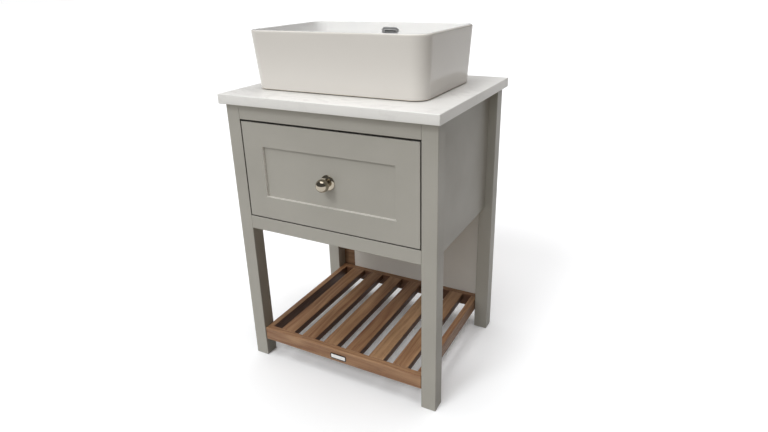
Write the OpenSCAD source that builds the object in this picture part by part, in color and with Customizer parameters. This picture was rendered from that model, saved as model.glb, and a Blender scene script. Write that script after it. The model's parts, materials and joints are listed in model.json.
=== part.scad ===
// Vanity unit: painted washstand with a slatted oak shelf, stone top and countertop basin.
// Millimetres, +Z up. The origin is on the floor, below the middle of the whole unit.
// Inside the modules y = 0 is the front face of the legs; placed() shifts it to the origin.

/* [Cabinet] */
// Width over the legs
body_w = 600; // [480:10:900]
// Depth over the legs
body_d = 463; // [440:1:600]
// Height of the legs, up to the underside of the top
leg_h = 780; // [740:5:900]
// Side of the square legs
leg_s = 41; // [36:1:60]
// Thickness of the side panels
side_t = 17.5; // [16:0.5:22]
// How far the side panels sit back from the outer faces of the legs
side_recess = 23.5; // [16:0.5:24]
// Height of the lower edge of the side panels
side_z = 425; // [300:5:430]
// Thickness of the front and rear rails
rail_t = 22; // [18:1:30]
// Height of the rail above the drawer
top_rail_h = 40; // [30:1:60]
// Height of the rail below the drawer
bottom_rail_h = 38.5; // [30:0.5:60]
// Height of the underside of the rail below the drawer
bottom_rail_z = 430; // [430:5:460]
// Height of the rear rail under the top
rear_rail_h = 50; // [40:1:80]
// Small bevel on the edges of painted pieces
paint_arris = 1; // [0.5:0.1:2]

/* [Back] */
// Thickness of the unpainted back board behind the legs
board_t = 20; // [12:1:22]
// Distance of its ends from the outer faces of the legs
board_in = 8; // [4:1:14]
// Height of the lower edge of the back board
board_z = 85; // [70:5:200]
// Thickness of the painted panel behind the open shelf
panel_t = 4; // [4:0.5:9]
// Distance of the painted panel from the left legs
panel_left = 44; // [20:1:120]
// Distance of the painted panel from the right legs
panel_right = 6; // [1:1:120]
// Height of the upper edge of the painted panel
panel_top = 470; // [440:5:490]
// Width of the service cut-out behind the drawer
service_w = 320; // [100:10:380]
// Height of the service cut-out
service_h = 150; // [80:10:170]
// Height of the lower edge of the service cut-out
service_z = 520; // [500:5:540]
// Distance between the two wall fixing holes
fixing_w = 420; // [400:10:430]
// Height of the wall fixing holes
fixing_z = 690; // [600:5:710]
// Diameter of the wall fixing holes
fixing_d = 7; // [5:0.5:10]

/* [Top] */
// Thickness of the stone top
top_t = 25; // [18:1:40]
// Overhang of the top past the side faces of the legs
top_side = 10; // [0:1:30]
// Overhang of the top past the front of the legs
top_front = 17; // [0:1:30]
// Overhang of the top past the back of the legs
top_rear = 20; // [0:1:60]
// Bevel on the edges of the top
top_arris = 1.5; // [0.5:0.5:4]

/* [Basin] */
// Width of the basin at the rim
basin_w = 507; // [420:1:560]
// Depth of the basin at the rim, front to back
basin_d = 333; // [320:1:420]
// Height of the basin
basin_h = 150; // [120:1:180]
// How much each side draws in from the rim to the foot
basin_side_draw = 8.5; // [0:0.5:20]
// How much the front and back draw in from the rim to the foot
basin_end_draw = 10.5; // [0:0.5:20]
// Radius of the upright corners
basin_r = 40; // [20:1:60]
// Thickness of the basin wall at the rim
basin_wall = 8; // [6:0.5:12]
// Thickness of the basin floor
basin_floor = 11; // [8:1:16]
// Height of the hollow under the basin floor
foot_h = 11; // [6:1:20]
// Distance of the basin centre from the middle of the unit, to the right
basin_x = -13; // [-40:1:40]
// Distance of the basin centre behind the front faces of the legs
basin_y = 231; // [210:1:250]
// Thickness of the seal under the basin
seal_t = 2; // [1:0.5:4]
// Inset of the seal from the foot of the basin
seal_in = 5; // [2:1:12]
// Width of the seal
seal_w = 7; // [5:1:8]

/* [Waste] */
// Diameter of the threaded waste tail
tail_d = 41.9; // [32:0.1:46]
// Diameter of the passage through the waste
waste_bore_d = 34; // [26:1:34]
// Diameter of the flange in the basin
flange_d = 66; // [62:1:72]
// Thickness of the flange
flange_t = 2.8; // [2:0.2:4]
// Length of the waste below the flange
tail_len = 96; // [90:1:120]
// Bare length of thread left for the trap
tail_free = 35; // [20:1:36]
// Thickness of the back nut
nut_t = 10; // [6:1:14]
// Diameter of the plug cap
plug_d = 62; // [56:1:66]
// Lift of the plug
plug_lift = 9; // [5:1:12]

/* [Drawer] */
// Gap on each side of the drawer front
gap_side = 3; // [1:0.1:4]
// Gap above the drawer front
gap_top = 4.8; // [1:0.1:6]
// Gap below the drawer front
gap_bottom = 2.8; // [1:0.1:4]
// Thickness of the drawer front frame
front_t = 20; // [18:1:24]
// Width of the stiles and rails of the drawer front
frame_w = 63; // [40:0.5:90]
// Depth of the sunk panel behind the frame face
sunk = 6; // [3:0.5:8]
// Thickness of the sunk panel
sunk_t = 9; // [6:0.5:9]
// Space left between the drawer box and the rail above it
box_room = 100; // [60:5:120]
// Gap between the drawer box and the back board
box_back = 63; // [30:1:80]
// Thickness of the drawer box boards
box_t = 15; // [12:1:18]
// Thickness of the drawer bottom
bottom_t = 6; // [4:1:9]
// Width of the notch that clears the trap
well_w = 160; // [120:5:200]
// Room for the trap in front of the middle of the waste
well_ahead = 54; // [40:1:70]
// Thickness of the boards around the notch
well_t = 12; // [9:1:15]

/* [Runners] */
// Room that one runner takes beside the drawer box
runner_w = 12.7; // [12:0.1:14]
// Height of a runner
runner_h = 45; // [35:1:50]
// Gap between the fixed runner members and the back board
runner_back = 39; // [12:1:60]
// Sheet thickness of the runner members
runner_sheet = 1.2; // [1:0.1:1.4]
// Running gap between the runner members
runner_gap = 0.3; // [0.2:0.1:0.8]
// Height of the runner centre line above the drawer box floor
runner_up = 65; // [35:5:80]

/* [Knob] */
// Diameter of the ball
ball_d = 34; // [28:1:36]
// Distance of the ball centre from the sunk panel
ball_out = 25; // [25:1:40]
// Diameter of the rose
rose_d = 41; // [30:1:46]
// Thickness of the rose
rose_t = 6; // [2:0.5:7]
// Diameter of the neck
neck_d = 13; // [10:1:18]
// Distance of the knob below the middle of the drawer front
knob_drop = 3; // [0:0.5:20]

/* [Shelf] */
// Height of the top of the slatted shelf
shelf_z = 98.5; // [95:0.5:180]
// Height of the shelf rails
shelf_h = 40.5; // [32:0.5:50]
// Thickness of the shelf rails
shelf_t = 18; // [18:1:30]
// Gap between the shelf and each leg
shelf_gap = 1.5; // [0:0.5:4]
// How far the shelf front sits behind the leg fronts
shelf_set = 1.5; // [0:0.5:10]
// Number of slats
slats = 6; // [3:1:6]
// Width of a slat
slat_w = 46; // [30:1:60]
// Thickness of a slat
slat_t = 20; // [16:1:24]
// Bevel on the oak edges
oak_arris = 1.6; // [0.5:0.1:3]
// Length of the blank plate on the shelf front
plate_w = 52; // [30:1:70]
// Height of the blank plate
plate_h = 18; // [10:1:20]
// Thickness of the blank plate
plate_t = 1.6; // [1:0.2:3]
// Distance of the plate below the middle of the rail
plate_drop = 3; // [0:0.5:3]

/* [Hidden] */

// Clearance of tenons, tongues, dowels and screws in their holes
fit = 0.1;
// Clearance at the bottom of mortises and grooves
slack = 0.5;
// Clearance between moving faces
run = 0.3;

// Half width over the legs, and the inner faces of the legs
hx = body_w / 2;
inner_x = hx - leg_s;
// Front and rear faces of the back board
board_y = body_d;
board_y1 = body_d + board_t;
panel_y = board_y - panel_t;
// Faces of the side panels
side_out = hx - side_recess;
side_in = side_out - side_t;
back_leg_y = body_d - leg_s;
// Tongue of a side panel in the grooves of the legs
tongue_t = 6;
tongue_l = 6;

// Drawer opening and drawer front
open_z0 = bottom_rail_z + bottom_rail_h;
open_z1 = leg_h - top_rail_h;
front_w = 2 * (inner_x - gap_side);
front_z0 = open_z0 + gap_bottom;
front_z1 = open_z1 - gap_top;
front_h = front_z1 - front_z0;
// Depth of the groove for the sunk panel, and length of the rail tenons in the stiles
groove = 8;

// Drawer box: it stands between the runners
box_x = inner_x - runner_w;
box_lift = 11.5;
box_z = open_z0 + box_lift;
box_h = open_z1 - box_z - box_room;
box_y0 = front_t;
box_y1 = board_y - box_back;
box_groove = 5;
bottom_up = 8;
bottom_z = box_z + bottom_up;
well_y = basin_y - well_ahead;
well_x = well_w / 2;

// Runners: u counts from the leg face towards the drawer box
runner_z = box_z + runner_up;
runner_in = 4;
runner_y = box_y0 + runner_in;
runner_len = board_y - runner_back - runner_y;
inner_len = box_y1 - runner_y;
middle_short = 10;
middle_len = runner_len - middle_short;
runner_head_t = 1.6;
runner_screw_l = 11;
head_clear = 1.8;
flange_step = 2;
middle_u0 = runner_sheet + runner_head_t + head_clear;
middle_u1 = runner_w - runner_sheet - run;
outer_u1 = middle_u1 - flange_step;
inner_u0 = middle_u0 + runner_sheet + flange_step;

// Top, basin and knob reach, which set the middle of the unit
top_z = leg_h + top_t;
top_y1 = body_d + top_rear;
rear_most = max(top_y1, board_y1);
knob_z = front_z0 + front_h / 2 - knob_drop;
knob_reach = ball_out - sunk + ball_d / 2;
front_most = max(top_front, knob_reach);
mid_y = (rear_most - front_most) / 2;

// Basin
basin_z = top_z + seal_t;
rim_z = basin_z + basin_h;
floor_z = basin_z + foot_h + basin_floor;
foot_w = basin_w - 2 * basin_side_draw;
foot_d = basin_d - 2 * basin_end_draw;
foot_r = basin_r - 3;
foot_ease = 2;
lip = 1.5;

// Inner bowl profile: depth below the rim and inset from the rim outline
bowl_h = rim_z - floor_z;
lip_drop = 3;
floor_fall = 3;
turn_h = 30;
wall_drop = bowl_h - floor_fall - turn_h;
wall_in = 15;

// Waste, in the basin floor
hole_r = tail_d / 2 + 1.5;
seat_t = 3.5;
flange_room = 1;
upper_washer_t = 1.5;
flange_z = floor_z - seat_t + upper_washer_t;
tail_z = flange_z - tail_len;
washer_t = 3;
washer_lap = 7;
nut_over = 22;
nut_d = tail_d + nut_over;
nut_z = leg_h - washer_t - nut_t;
thread_depth = 0.6;
web_drop = 34;
web_z = flange_z - web_drop;
web_t = 6;
spoke_t = 3;
spoke_r = waste_bore_d / 2 + 0.5;
port_w = 12;
port_z0 = 6;
port_z1 = 16;
stem_d = 7;
cartridge_d = 15;
cartridge_len = 26;
cartridge_z = web_z + web_t - cartridge_len;
cartridge_end = 3;
collar_t = 3;
collar_d = cartridge_d + 5;
// Radial running gap of the stem in the cartridge
stem_gap = 0.06;
stem_z = cartridge_z + cartridge_end + run;
top_hole_over = 14;
top_hole_d = tail_d + top_hole_over;

// Overflow in the back of the bowl, on the slope of the bowl wall
over_w = 54;
over_h = 21;
over_drop = 24;
over_deep = 4.5;
over_collar = 4;
over_plate = 2;
// The trim sits this far off the glaze
trim_seat = 0.05;
over_tilt = atan(wall_in / (wall_drop - lip_drop));
over_y = basin_y + basin_d / 2 - basin_wall - wall_in * (over_drop - lip_drop) / (wall_drop - lip_drop);

// Battens under the top, and the bevel on unpainted wood
cleat_s = 22;
cleat_end = 10;
wood_arris = 1;

// Shelf
shelf_x = inner_x - shelf_gap;
shelf_y0 = shelf_set;
shelf_y1 = panel_y;
shelf_z0 = shelf_z - shelf_h;
bay_w = 2 * (shelf_x - shelf_t);
slat_l = shelf_y1 - shelf_y0 - 2 * shelf_t;
slat_gap = (bay_w - slats * slat_w) / (slats + 1);
tenon_l = 6;
tenon_in = 4;
side_tenon_in = 6;

// Dowels and screws
dowel_d = 8;
dowel_l = 36;
dowel_rise = 10;
// Dowels of the shelf lie this far from its front and rear faces, clear of the tenons
shelf_dowel_in = 6.5;
screw_d = 4;
screw_head_d = 8;
screw_head_t = 2.5;

// Colours
paint = [0.62, 0.60, 0.56];
oak = [0.60, 0.43, 0.30];
raw = [0.55, 0.38, 0.27];
stone = [0.93, 0.92, 0.91];
glaze = [0.90, 0.89, 0.86];
bright = [0.80, 0.79, 0.77];
steel = [0.66, 0.67, 0.68];
rubber = [0.16, 0.16, 0.17];
birch = [0.82, 0.71, 0.54];

// Shared shapes

// Moves a piece from the leg fronts to the unit's origin
module placed() {
    translate([0, -mid_y, 0]) children();
}

// Outline of a box with its four corners cut by e
function cut_corners(a, b, e) = [
    [e, 0], [a - e, 0], [a, e], [a, b - e], [a - e, b], [e, b], [0, b - e], [0, e]
];

// Box from corner p with size s, every edge bevelled by e
module eased(p, s, e) {
    translate(p) intersection() {
        linear_extrude(s[2]) polygon(cut_corners(s[0], s[1], e));
        translate([0, s[1], 0]) rotate([90, 0, 0])
            linear_extrude(s[1]) polygon(cut_corners(s[0], s[2], e));
        rotate([90, 0, 90]) linear_extrude(s[0]) polygon(cut_corners(s[1], s[2], e));
    }
}

// Plain box from its lowest to its highest corner
module block(lo, hi) {
    translate(lo) cube(hi - lo);
}

// Cylinder along +X, +Y or +Z from point p
module rod_x(p, l, d) {
    translate(p) rotate([0, 90, 0]) cylinder(h = l, d = d, $fn = 32);
}

module rod_y(p, l, d) {
    translate(p) rotate([-90, 0, 0]) cylinder(h = l, d = d, $fn = 32);
}

module rod_z(p, l, d) {
    translate(p) cylinder(h = l, d = d, $fn = 48);
}

// Screw along +Y with its head's face at p; the head reaches back from p
module screw_y(p, l) {
    rod_y(p, screw_head_t, screw_head_d);
    rod_y(p + [0, screw_head_t, 0], l - screw_head_t, screw_d);
}

// Hole for screw_y, wider by the fit clearance
module screw_hole_y(p, l) {
    rod_y(p - [0, 0.01, 0], screw_head_t + 0.01 + fit, screw_head_d + 2 * fit);
    rod_y(p, l + slack, screw_d + 2 * fit);
}

// Points of a rectangle with round corners at height z, centred on the basin
function ring(w, d, r, z, n = 8) = [
    for (k = [0:3]) for (i = [0:n])
        let (a = 90 * k + 90 * i / n, sx = (k == 0 || k == 3) ? 1 : -1, sy = k < 2 ? 1 : -1)
            [basin_x + sx * (w / 2 - r) + r * cos(a), basin_y + sy * (d / 2 - r) + r * sin(a), z]
];

// Solid through a stack of rings with equal point counts, lowest ring first
module loft(rings) {
    n = len(rings[0]);
    m = len(rings);
    polyhedron(
        points = [for (q = rings) for (p = q) p],
        faces = concat(
            [[for (i = [0:n - 1]) i]],
            [[for (i = [0:n - 1]) (m - 1) * n + n - 1 - i]],
            [for (j = [0:m - 2]) for (i = [0:n - 1])
                [j * n + i, (j + 1) * n + i, j * n + (i + 1) % n]],
            [for (j = [0:m - 2]) for (i = [0:n - 1])
                [j * n + (i + 1) % n, (j + 1) * n + i, (j + 1) * n + (i + 1) % n]]
        )
    );
}

// Outline of the basin foot drawn in by a distance
module foot_outline(inset) {
    polygon([for (p = ring(foot_w - 2 * inset, foot_d - 2 * inset, foot_r - inset, 0)) [p[0], p[1]]]);
}

// Rectangle of width w and height h with corners of radius r
module rounded(w, h, r) {
    polygon([
        for (k = [0:3]) for (i = [0:6])
            let (a = 90 * k + 15 * i, sx = (k == 0 || k == 3) ? 1 : -1, sy = k < 2 ? 1 : -1)
                [sx * (w / 2 - r) + r * cos(a), sy * (h / 2 - r) + r * sin(a)]
    ]);
}

// Stadium outline of overall width w and height h
module pill(w, h) {
    polygon([
        for (s = [0, 1]) for (i = [0:12])
            let (a = -90 + 180 * s + 180 * i / 12)
                [(s == 0 ? 1 : -1) * (w - h) / 2 + h / 2 * cos(a), h / 2 * sin(a)]
    ]);
}

// Cabinet

// Front leg: groove for the side panel behind, dowel holes for the rails and the shelf
module leg_front(side) {
    color(paint) difference() {
        eased([side > 0 ? inner_x : -hx, 0, 0], [leg_s, leg_s, leg_h], paint_arris);
        panel_groove(side, leg_s - tongue_l - slack, leg_s + 1);
        leg_dowel_holes(side);
    }
}

// Back leg: groove for the side panel in front, holes for dowels and for the screws of the board
module leg_back(side) {
    color(paint) difference() {
        eased([side > 0 ? inner_x : -hx, back_leg_y, 0], [leg_s, leg_s, leg_h], paint_arris);
        panel_groove(side, back_leg_y - 1, back_leg_y + tongue_l + slack);
        leg_dowel_holes(side);
        for (z = board_screw_z) board_screw_hole(side, z);
    }
}

// Groove in a leg for the tongue of a side panel, open at the top
module panel_groove(side, y0, y1) {
    x0 = side * (side_in + side_t / 2) - tongue_t / 2 - fit;
    block([x0, y0, side_z + tongue_l], [x0 + tongue_t + 2 * fit, y1, leg_h + 1]);
}

// Dowel positions [y, z] of the rails that meet the legs
rail_dowel_y = rail_t / 2;
rear_dowel_y = board_y - dowel_d / 2 - 5;
rail_dowel_at = [
    for (rail = [[bottom_rail_z, open_z0], [open_z1, leg_h]]) each [
        [rail_dowel_y, rail[0] + dowel_rise], [rail_dowel_y, rail[1] - dowel_rise]
    ]
];
rear_dowel_at = [
    for (z = [leg_h - rear_rail_h + dowel_rise, leg_h - dowel_rise]) [rear_dowel_y, z]
];
shelf_dowel_y = [shelf_y0 + shelf_dowel_in, shelf_y1 - shelf_dowel_in];
shelf_dowel_z = [shelf_z0 + dowel_rise, shelf_z - dowel_rise];

module dowel_at(side, x, y, z, extra) {
    rod_x([side * x - (dowel_l + extra) / 2, y, z], dowel_l + extra, dowel_d + (extra > 0 ? 2 * fit : 0));
}

module leg_dowel_holes(side) {
    for (p = concat(rail_dowel_at, rear_dowel_at)) dowel_at(side, inner_x, p[0], p[1], 2 * slack);
    for (y = shelf_dowel_y, z = shelf_dowel_z)
        dowel_at(side, inner_x - shelf_gap / 2, y, z, 2 * slack);
}

module front_rail(z, h) {
    color(paint) difference() {
        eased([-inner_x, 0, z], [2 * inner_x, rail_t, h], paint_arris);
        for (s = [-1, 1], p = rail_dowel_at) dowel_at(s, inner_x, p[0], p[1], 2 * slack);
    }
}

module front_rail_top() {
    placed() front_rail(open_z1, top_rail_h);
}

module front_rail_bottom() {
    placed() front_rail(bottom_rail_z, bottom_rail_h);
}

module rear_rail() {
    placed() color(raw) difference() {
        eased([-inner_x, board_y - rail_t, leg_h - rear_rail_h],
            [2 * inner_x, rail_t, rear_rail_h], wood_arris);
        for (s = [-1, 1], p = rear_dowel_at) dowel_at(s, inner_x, p[0], p[1], 2 * slack);
    }
}

// All the dowels: rails to legs, and shelf to legs
module dowels() {
    placed() color(birch) for (s = [-1, 1]) {
        for (p = concat(rail_dowel_at, rear_dowel_at)) dowel_at(s, inner_x, p[0], p[1], 0);
        for (y = shelf_dowel_y, z = shelf_dowel_z) dowel_at(s, inner_x - shelf_gap / 2, y, z, 0);
    }
}

// Side panel with a tongue in each leg. The runner screws end inside it
module side_panel(side) {
    hole_x0 = min(side_in, inner_x) - slack;
    hole_x1 = inner_x + runner_screw_l;
    x0 = side > 0 ? side_in : -side_out;
    xt = side * (side_in + side_t / 2) - tongue_t / 2;
    placed() color(paint) {
        difference() {
            union() {
                block([x0, leg_s, side_z], [x0 + side_t, back_leg_y, leg_h]);
                block([xt, leg_s - tongue_l, side_z + tongue_l + fit],
                    [xt + tongue_t, back_leg_y + tongue_l, leg_h]);
            }
            for (y = runner_screw_y)
                rod_x([side > 0 ? hole_x0 : -hole_x1, y, runner_z], hole_x1 - hole_x0, screw_d + 2 * fit);
        }
    }
}

// Batten under the top, on the inside of a side panel
module top_cleat(side) {
    placed() color(birch)
        eased([side > 0 ? side_in - cleat_s : -side_in, leg_s + cleat_end, leg_h - cleat_s],
            [cleat_s, board_y - rail_t - leg_s - 2 * cleat_end, cleat_s], wood_arris);
}

// Back

board_screw_in = 40;
board_screw_top = rear_rail_h + 10;
board_screw_z = [board_z + board_screw_in, (board_z + leg_h) / 2, leg_h - board_screw_top];
function board_screw_x(side) = side * (hx - leg_s / 2);
board_screw_l = board_t + 25;
panel_x0 = -inner_x + panel_left;
panel_x1 = inner_x - panel_right;
panel_screw_in = 15;
panel_screw_x = [panel_x0 + panel_screw_in, panel_x1 - panel_screw_in];
panel_screw_z = [shelf_z + panel_screw_in, panel_top - panel_screw_in];
panel_z = board_z + 5;
panel_screw_l = 14;

module back_board() {
    placed() color(raw) difference() {
        block([-hx + board_in, board_y, board_z], [hx - board_in, board_y1, leg_h]);
        block([-service_w / 2, board_y - 1, service_z], [service_w / 2, board_y1 + 1, service_z + service_h]);
        for (s = [-1, 1]) rod_y([s * fixing_w / 2, board_y - 1, fixing_z], board_t + 2, fixing_d);
        for (s = [-1, 1], z = board_screw_z) board_screw_hole(s, z);
        for (x = panel_screw_x, z = panel_screw_z) screw_hole_y([x, panel_y, z], panel_screw_l);
    }
}

// Screws through the back board into the legs, driven from the rear
module board_screw(side, z) {
    x = board_screw_x(side);
    rod_y([x, board_y1 - screw_head_t, z], screw_head_t, screw_head_d);
    rod_y([x, board_y1 - board_screw_l, z], board_screw_l - screw_head_t, screw_d);
}

module board_screw_hole(side, z) {
    x = board_screw_x(side);
    rod_y([x, board_y1 - screw_head_t - fit, z], screw_head_t + 1, screw_head_d + 2 * fit);
    rod_y([x, board_y1 - board_screw_l - slack, z], board_screw_l, screw_d + 2 * fit);
}

module back_panel() {
    placed() color(paint) difference() {
        eased([panel_x0, panel_y, panel_z],
            [panel_x1 - panel_x0, panel_t, panel_top - panel_z], paint_arris);
        for (x = panel_screw_x, z = panel_screw_z) screw_hole_y([x, panel_y, z], panel_screw_l);
    }
}

// Screws of the back board, the painted panel and the fixed runner members
module cabinet_screws() {
    placed() color(steel) {
        for (s = [-1, 1], z = board_screw_z) board_screw(s, z);
        for (x = panel_screw_x, z = panel_screw_z) screw_y([x, panel_y, z], panel_screw_l);
        for (s = [-1, 1], y = runner_screw_y) runner_screw(s, s * (inner_x - runner_sheet), y);
    }
}

// Top

module countertop() {
    placed() color(stone) difference() {
        eased([-hx - top_side, -top_front, leg_h],
            [body_w + 2 * top_side, body_d + top_front + top_rear, top_t], top_arris);
        rod_z([basin_x, basin_y, leg_h - 1], top_t + 2, top_hole_d);
    }
}

// Basin

// Outer rings: foot bevel, straight draft, eased rim
outer_rings = [
    ring(foot_w - 2 * foot_ease, foot_d - 2 * foot_ease, foot_r - foot_ease, basin_z),
    ring(foot_w, foot_d, foot_r, basin_z + foot_ease),
    ring(basin_w, basin_d, basin_r, rim_z - lip),
    ring(basin_w - lip, basin_d - lip, basin_r - lip / 2, rim_z)
];

// One ring of the bowl: inset from the rim outline, depth below the rim
bowl_r_min = 22;
function bowl_ring(inset, drop) =
    ring(basin_w - 2 * inset, basin_d - 2 * inset, max(basin_r - inset * 0.3, bowl_r_min), rim_z - drop);

wall_end = basin_wall + wall_in;
// The wall turns into the floor on a quarter of an ellipse, and the floor falls to its flat middle
turn_w = 30;
floor_run = 65;
bowl_rings = concat(
    [bowl_ring(wall_end + turn_w + floor_run, bowl_h)],
    [for (a = [0:15:75]) bowl_ring(wall_end + turn_w * (1 - sin(a)), wall_drop + turn_h * cos(a))],
    [bowl_ring(wall_end, wall_drop)],
    [bowl_ring(basin_wall, lip_drop)],
    [bowl_ring(basin_wall - 1, 0), bowl_ring(basin_wall - 1, -1)]
);

// Outline of the collar that sits in the basin wall, wider by g for its hole
module overflow_collar(g) {
    pill(over_w - 2 * over_collar + 2 * g, over_h - 2 * over_collar + 2 * g);
}

// Everything cut out for the overflow lies on the slope of the back wall
module on_overflow() {
    translate([basin_x, over_y, rim_z - over_drop]) rotate([90 - over_tilt, 0, 0]) children();
}

module basin() {
    placed() color(glaze) difference() {
        loft(outer_rings);
        loft(bowl_rings);
        translate([0, 0, basin_z - 1]) linear_extrude(foot_h + 1)
            foot_outline(seal_in + seal_w + foot_ease);
        rod_z([basin_x, basin_y, basin_z], basin_h, 2 * hole_r);
        rod_z([basin_x, basin_y, floor_z - seat_t], seat_t + floor_fall, flange_d + 2 * flange_room);
        on_overflow() translate([0, 0, -over_deep - slack])
            linear_extrude(over_deep + slack + 3) overflow_collar(fit);
    }
}

module basin_seal() {
    placed() color(rubber) translate([0, 0, top_z]) linear_extrude(seal_t) difference() {
        foot_outline(seal_in);
        foot_outline(seal_in + seal_w);
    }
}

// Oblong trim with a slot, its collar in the hole of the basin wall
module overflow_trim() {
    placed() color(bright) on_overflow() translate([0, 0, trim_seat]) difference() {
        union() {
            linear_extrude(over_plate) pill(over_w, over_h);
            translate([0, 0, -over_deep]) linear_extrude(over_deep + 0.5) overflow_collar(0);
        }
        translate([0, 0, -over_deep - 1]) linear_extrude(over_deep + 5)
            pill(over_w - 3 * over_collar, over_h - 3 * over_collar);
    }
}

// Waste

module at_waste(z) {
    translate([basin_x, basin_y, z]) children();
}

// Flange, tail with the bare end of its thread, and a web that carries the cartridge
module waste_body() {
    placed() color(bright) at_waste(0) {
        difference() {
            union() {
                translate([0, 0, flange_z]) cylinder(h = flange_t, d = flange_d, $fn = 64);
                translate([0, 0, nut_z]) cylinder(h = flange_z - nut_z, d = tail_d, $fn = 64);
                translate([0, 0, tail_z + tail_free])
                    cylinder(h = nut_z - tail_z - tail_free, d = tail_d - 2 * thread_depth, $fn = 64);
                translate([0, 0, tail_z]) cylinder(h = tail_free, d = tail_d, $fn = 64);
            }
            translate([0, 0, tail_z - 1]) cylinder(h = tail_len + 10, d = waste_bore_d, $fn = 64);
            for (a = [0, 180]) rotate([0, 0, a])
                block([0, -port_w / 2, flange_z - port_z1], [tail_d, port_w / 2, flange_z - port_z0]);
        }
        difference() {
            for (a = [0, 60, 120]) rotate([0, 0, a])
                block([-spoke_r, -spoke_t / 2, web_z], [spoke_r, spoke_t / 2, web_z + web_t]);
            translate([0, 0, web_z - 1]) cylinder(h = web_t + 2, d = cartridge_d + 2 * fit, $fn = 48);
        }
    }
}

// Rubber rings above and below
module waste_washer_top() {
    placed() color(rubber) at_waste(floor_z - seat_t) difference() {
        cylinder(h = upper_washer_t, d = flange_d - 2 * flange_room, $fn = 64);
        translate([0, 0, -1]) cylinder(h = 4, d = tail_d + 2 * fit, $fn = 64);
    }
}

module waste_washer_bottom() {
    placed() color(rubber) at_waste(leg_h - washer_t) difference() {
        cylinder(h = washer_t, d = top_hole_d + 2 * washer_lap, $fn = 64);
        translate([0, 0, -1]) cylinder(h = washer_t + 2, d = tail_d + 2 * fit, $fn = 64);
    }
}

module waste_backnut() {
    placed() color(bright) at_waste(nut_z) difference() {
        cylinder(h = nut_t, d = nut_d, $fn = 6);
        translate([0, 0, -1]) cylinder(h = nut_t + 2, d = tail_d + 2 * fit, $fn = 64);
    }
}

// Click cartridge in the web: the plug's stem runs in it
module click_cartridge() {
    placed() color(steel) at_waste(0) difference() {
        union() {
            translate([0, 0, cartridge_z]) cylinder(h = cartridge_len, d = cartridge_d, $fn = 48);
            translate([0, 0, web_z + web_t]) cylinder(h = collar_t, d = collar_d, $fn = 48);
        }
        translate([0, 0, cartridge_z + cartridge_end])
            cylinder(h = cartridge_len + collar_t, d = stem_d + 2 * stem_gap, $fn = 48);
    }
}

// Domed plug cap on its stem
plug_z = flange_z + flange_t + run;
plug_r = plug_d / 2;
plug_ease = 1;
plug_edge = 2.5;
plug_rise = 3.5;
module waste_plug() {
    placed() color(bright) at_waste(0) {
        translate([0, 0, plug_z]) rotate_extrude($fn = 72)
            polygon(concat(
                [[0, 0], [plug_r - plug_ease, 0], [plug_r, plug_ease]],
                [for (a = [0:10:80]) [plug_r * cos(a), plug_edge + plug_rise * sin(a)]],
                [[0, plug_edge + plug_rise]]
            ));
        translate([0, 0, stem_z]) cylinder(h = plug_z + 0.5 - stem_z, d = stem_d, $fn = 48);
    }
}

// Shelf

function slat_x(i) = -bay_w / 2 + slat_gap + i * (slat_w + slat_gap);

// Tenon of a slat, wider by g for its mortise
module slat_tenons(i, g) {
    x = slat_x(i);
    z0 = shelf_z - slat_t + tenon_in;
    z1 = shelf_z - tenon_in;
    block([x + tenon_in - g, shelf_y0 + shelf_t - tenon_l - (g > 0 ? slack : 0), z0 - g],
        [x + slat_w - tenon_in + g, shelf_y0 + shelf_t + 1, z1 + g]);
    block([x + tenon_in - g, shelf_y1 - shelf_t - 1, z0 - g],
        [x + slat_w - tenon_in + g, shelf_y1 - shelf_t + tenon_l + (g > 0 ? slack : 0), z1 + g]);
}

module side_rail_tenons(side, g) {
    x0 = side > 0 ? shelf_x - shelf_t + tenon_in : -shelf_x + tenon_in;
    x1 = x0 + shelf_t - 2 * tenon_in;
    extra = g > 0 ? slack : 0;
    block([x0 - g, shelf_y0 + shelf_t - tenon_l - extra, shelf_z0 + side_tenon_in - g],
        [x1 + g, shelf_y0 + shelf_t + 1, shelf_z - side_tenon_in + g]);
    block([x0 - g, shelf_y1 - shelf_t - 1, shelf_z0 + side_tenon_in - g],
        [x1 + g, shelf_y1 - shelf_t + tenon_l + extra, shelf_z - side_tenon_in + g]);
}

module shelf_dowel_holes() {
    for (s = [-1, 1], y = shelf_dowel_y, z = shelf_dowel_z)
        dowel_at(s, inner_x - shelf_gap / 2, y, z, 2 * slack);
}

// Long rail of the shelf from y0, with mortises for the slats and the side rails
module shelf_long_rail(y0) {
    placed() color(oak) difference() {
        eased([-shelf_x, y0, shelf_z0], [2 * shelf_x, shelf_t, shelf_h], oak_arris);
        for (i = [0:slats - 1]) slat_tenons(i, fit);
        for (s = [-1, 1]) side_rail_tenons(s, fit);
        shelf_dowel_holes();
        if (y0 == shelf_y0) for (s = [-1, 1]) plate_pin(s, fit);
    }
}

module shelf_rail_front() {
    shelf_long_rail(shelf_y0);
}

module shelf_rail_back() {
    shelf_long_rail(shelf_y1 - shelf_t);
}

module shelf_side_rail(side) {
    x0 = side > 0 ? shelf_x - shelf_t : -shelf_x;
    placed() color(oak) {
        eased([x0, shelf_y0 + shelf_t, shelf_z0], [shelf_t, slat_l, shelf_h], oak_arris);
        side_rail_tenons(side, 0);
    }
}

module shelf_slat(i) {
    placed() color(oak) if (i < slats) {
        eased([slat_x(i), shelf_y0 + shelf_t, shelf_z - slat_t], [slat_w, slat_l, slat_t], oak_arris);
        slat_tenons(i, 0);
    }
}

// Blank plate with round corners on two pins
plate_z = shelf_z - shelf_h / 2 - plate_drop;
plate_r = plate_h * 0.28;
module plate_pin(s, g) {
    rod_y([s * plate_w * 0.3, shelf_y0 - 0.5, plate_z], 8.5 + (g > 0 ? slack : 0), 3 + 2 * g);
}

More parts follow.
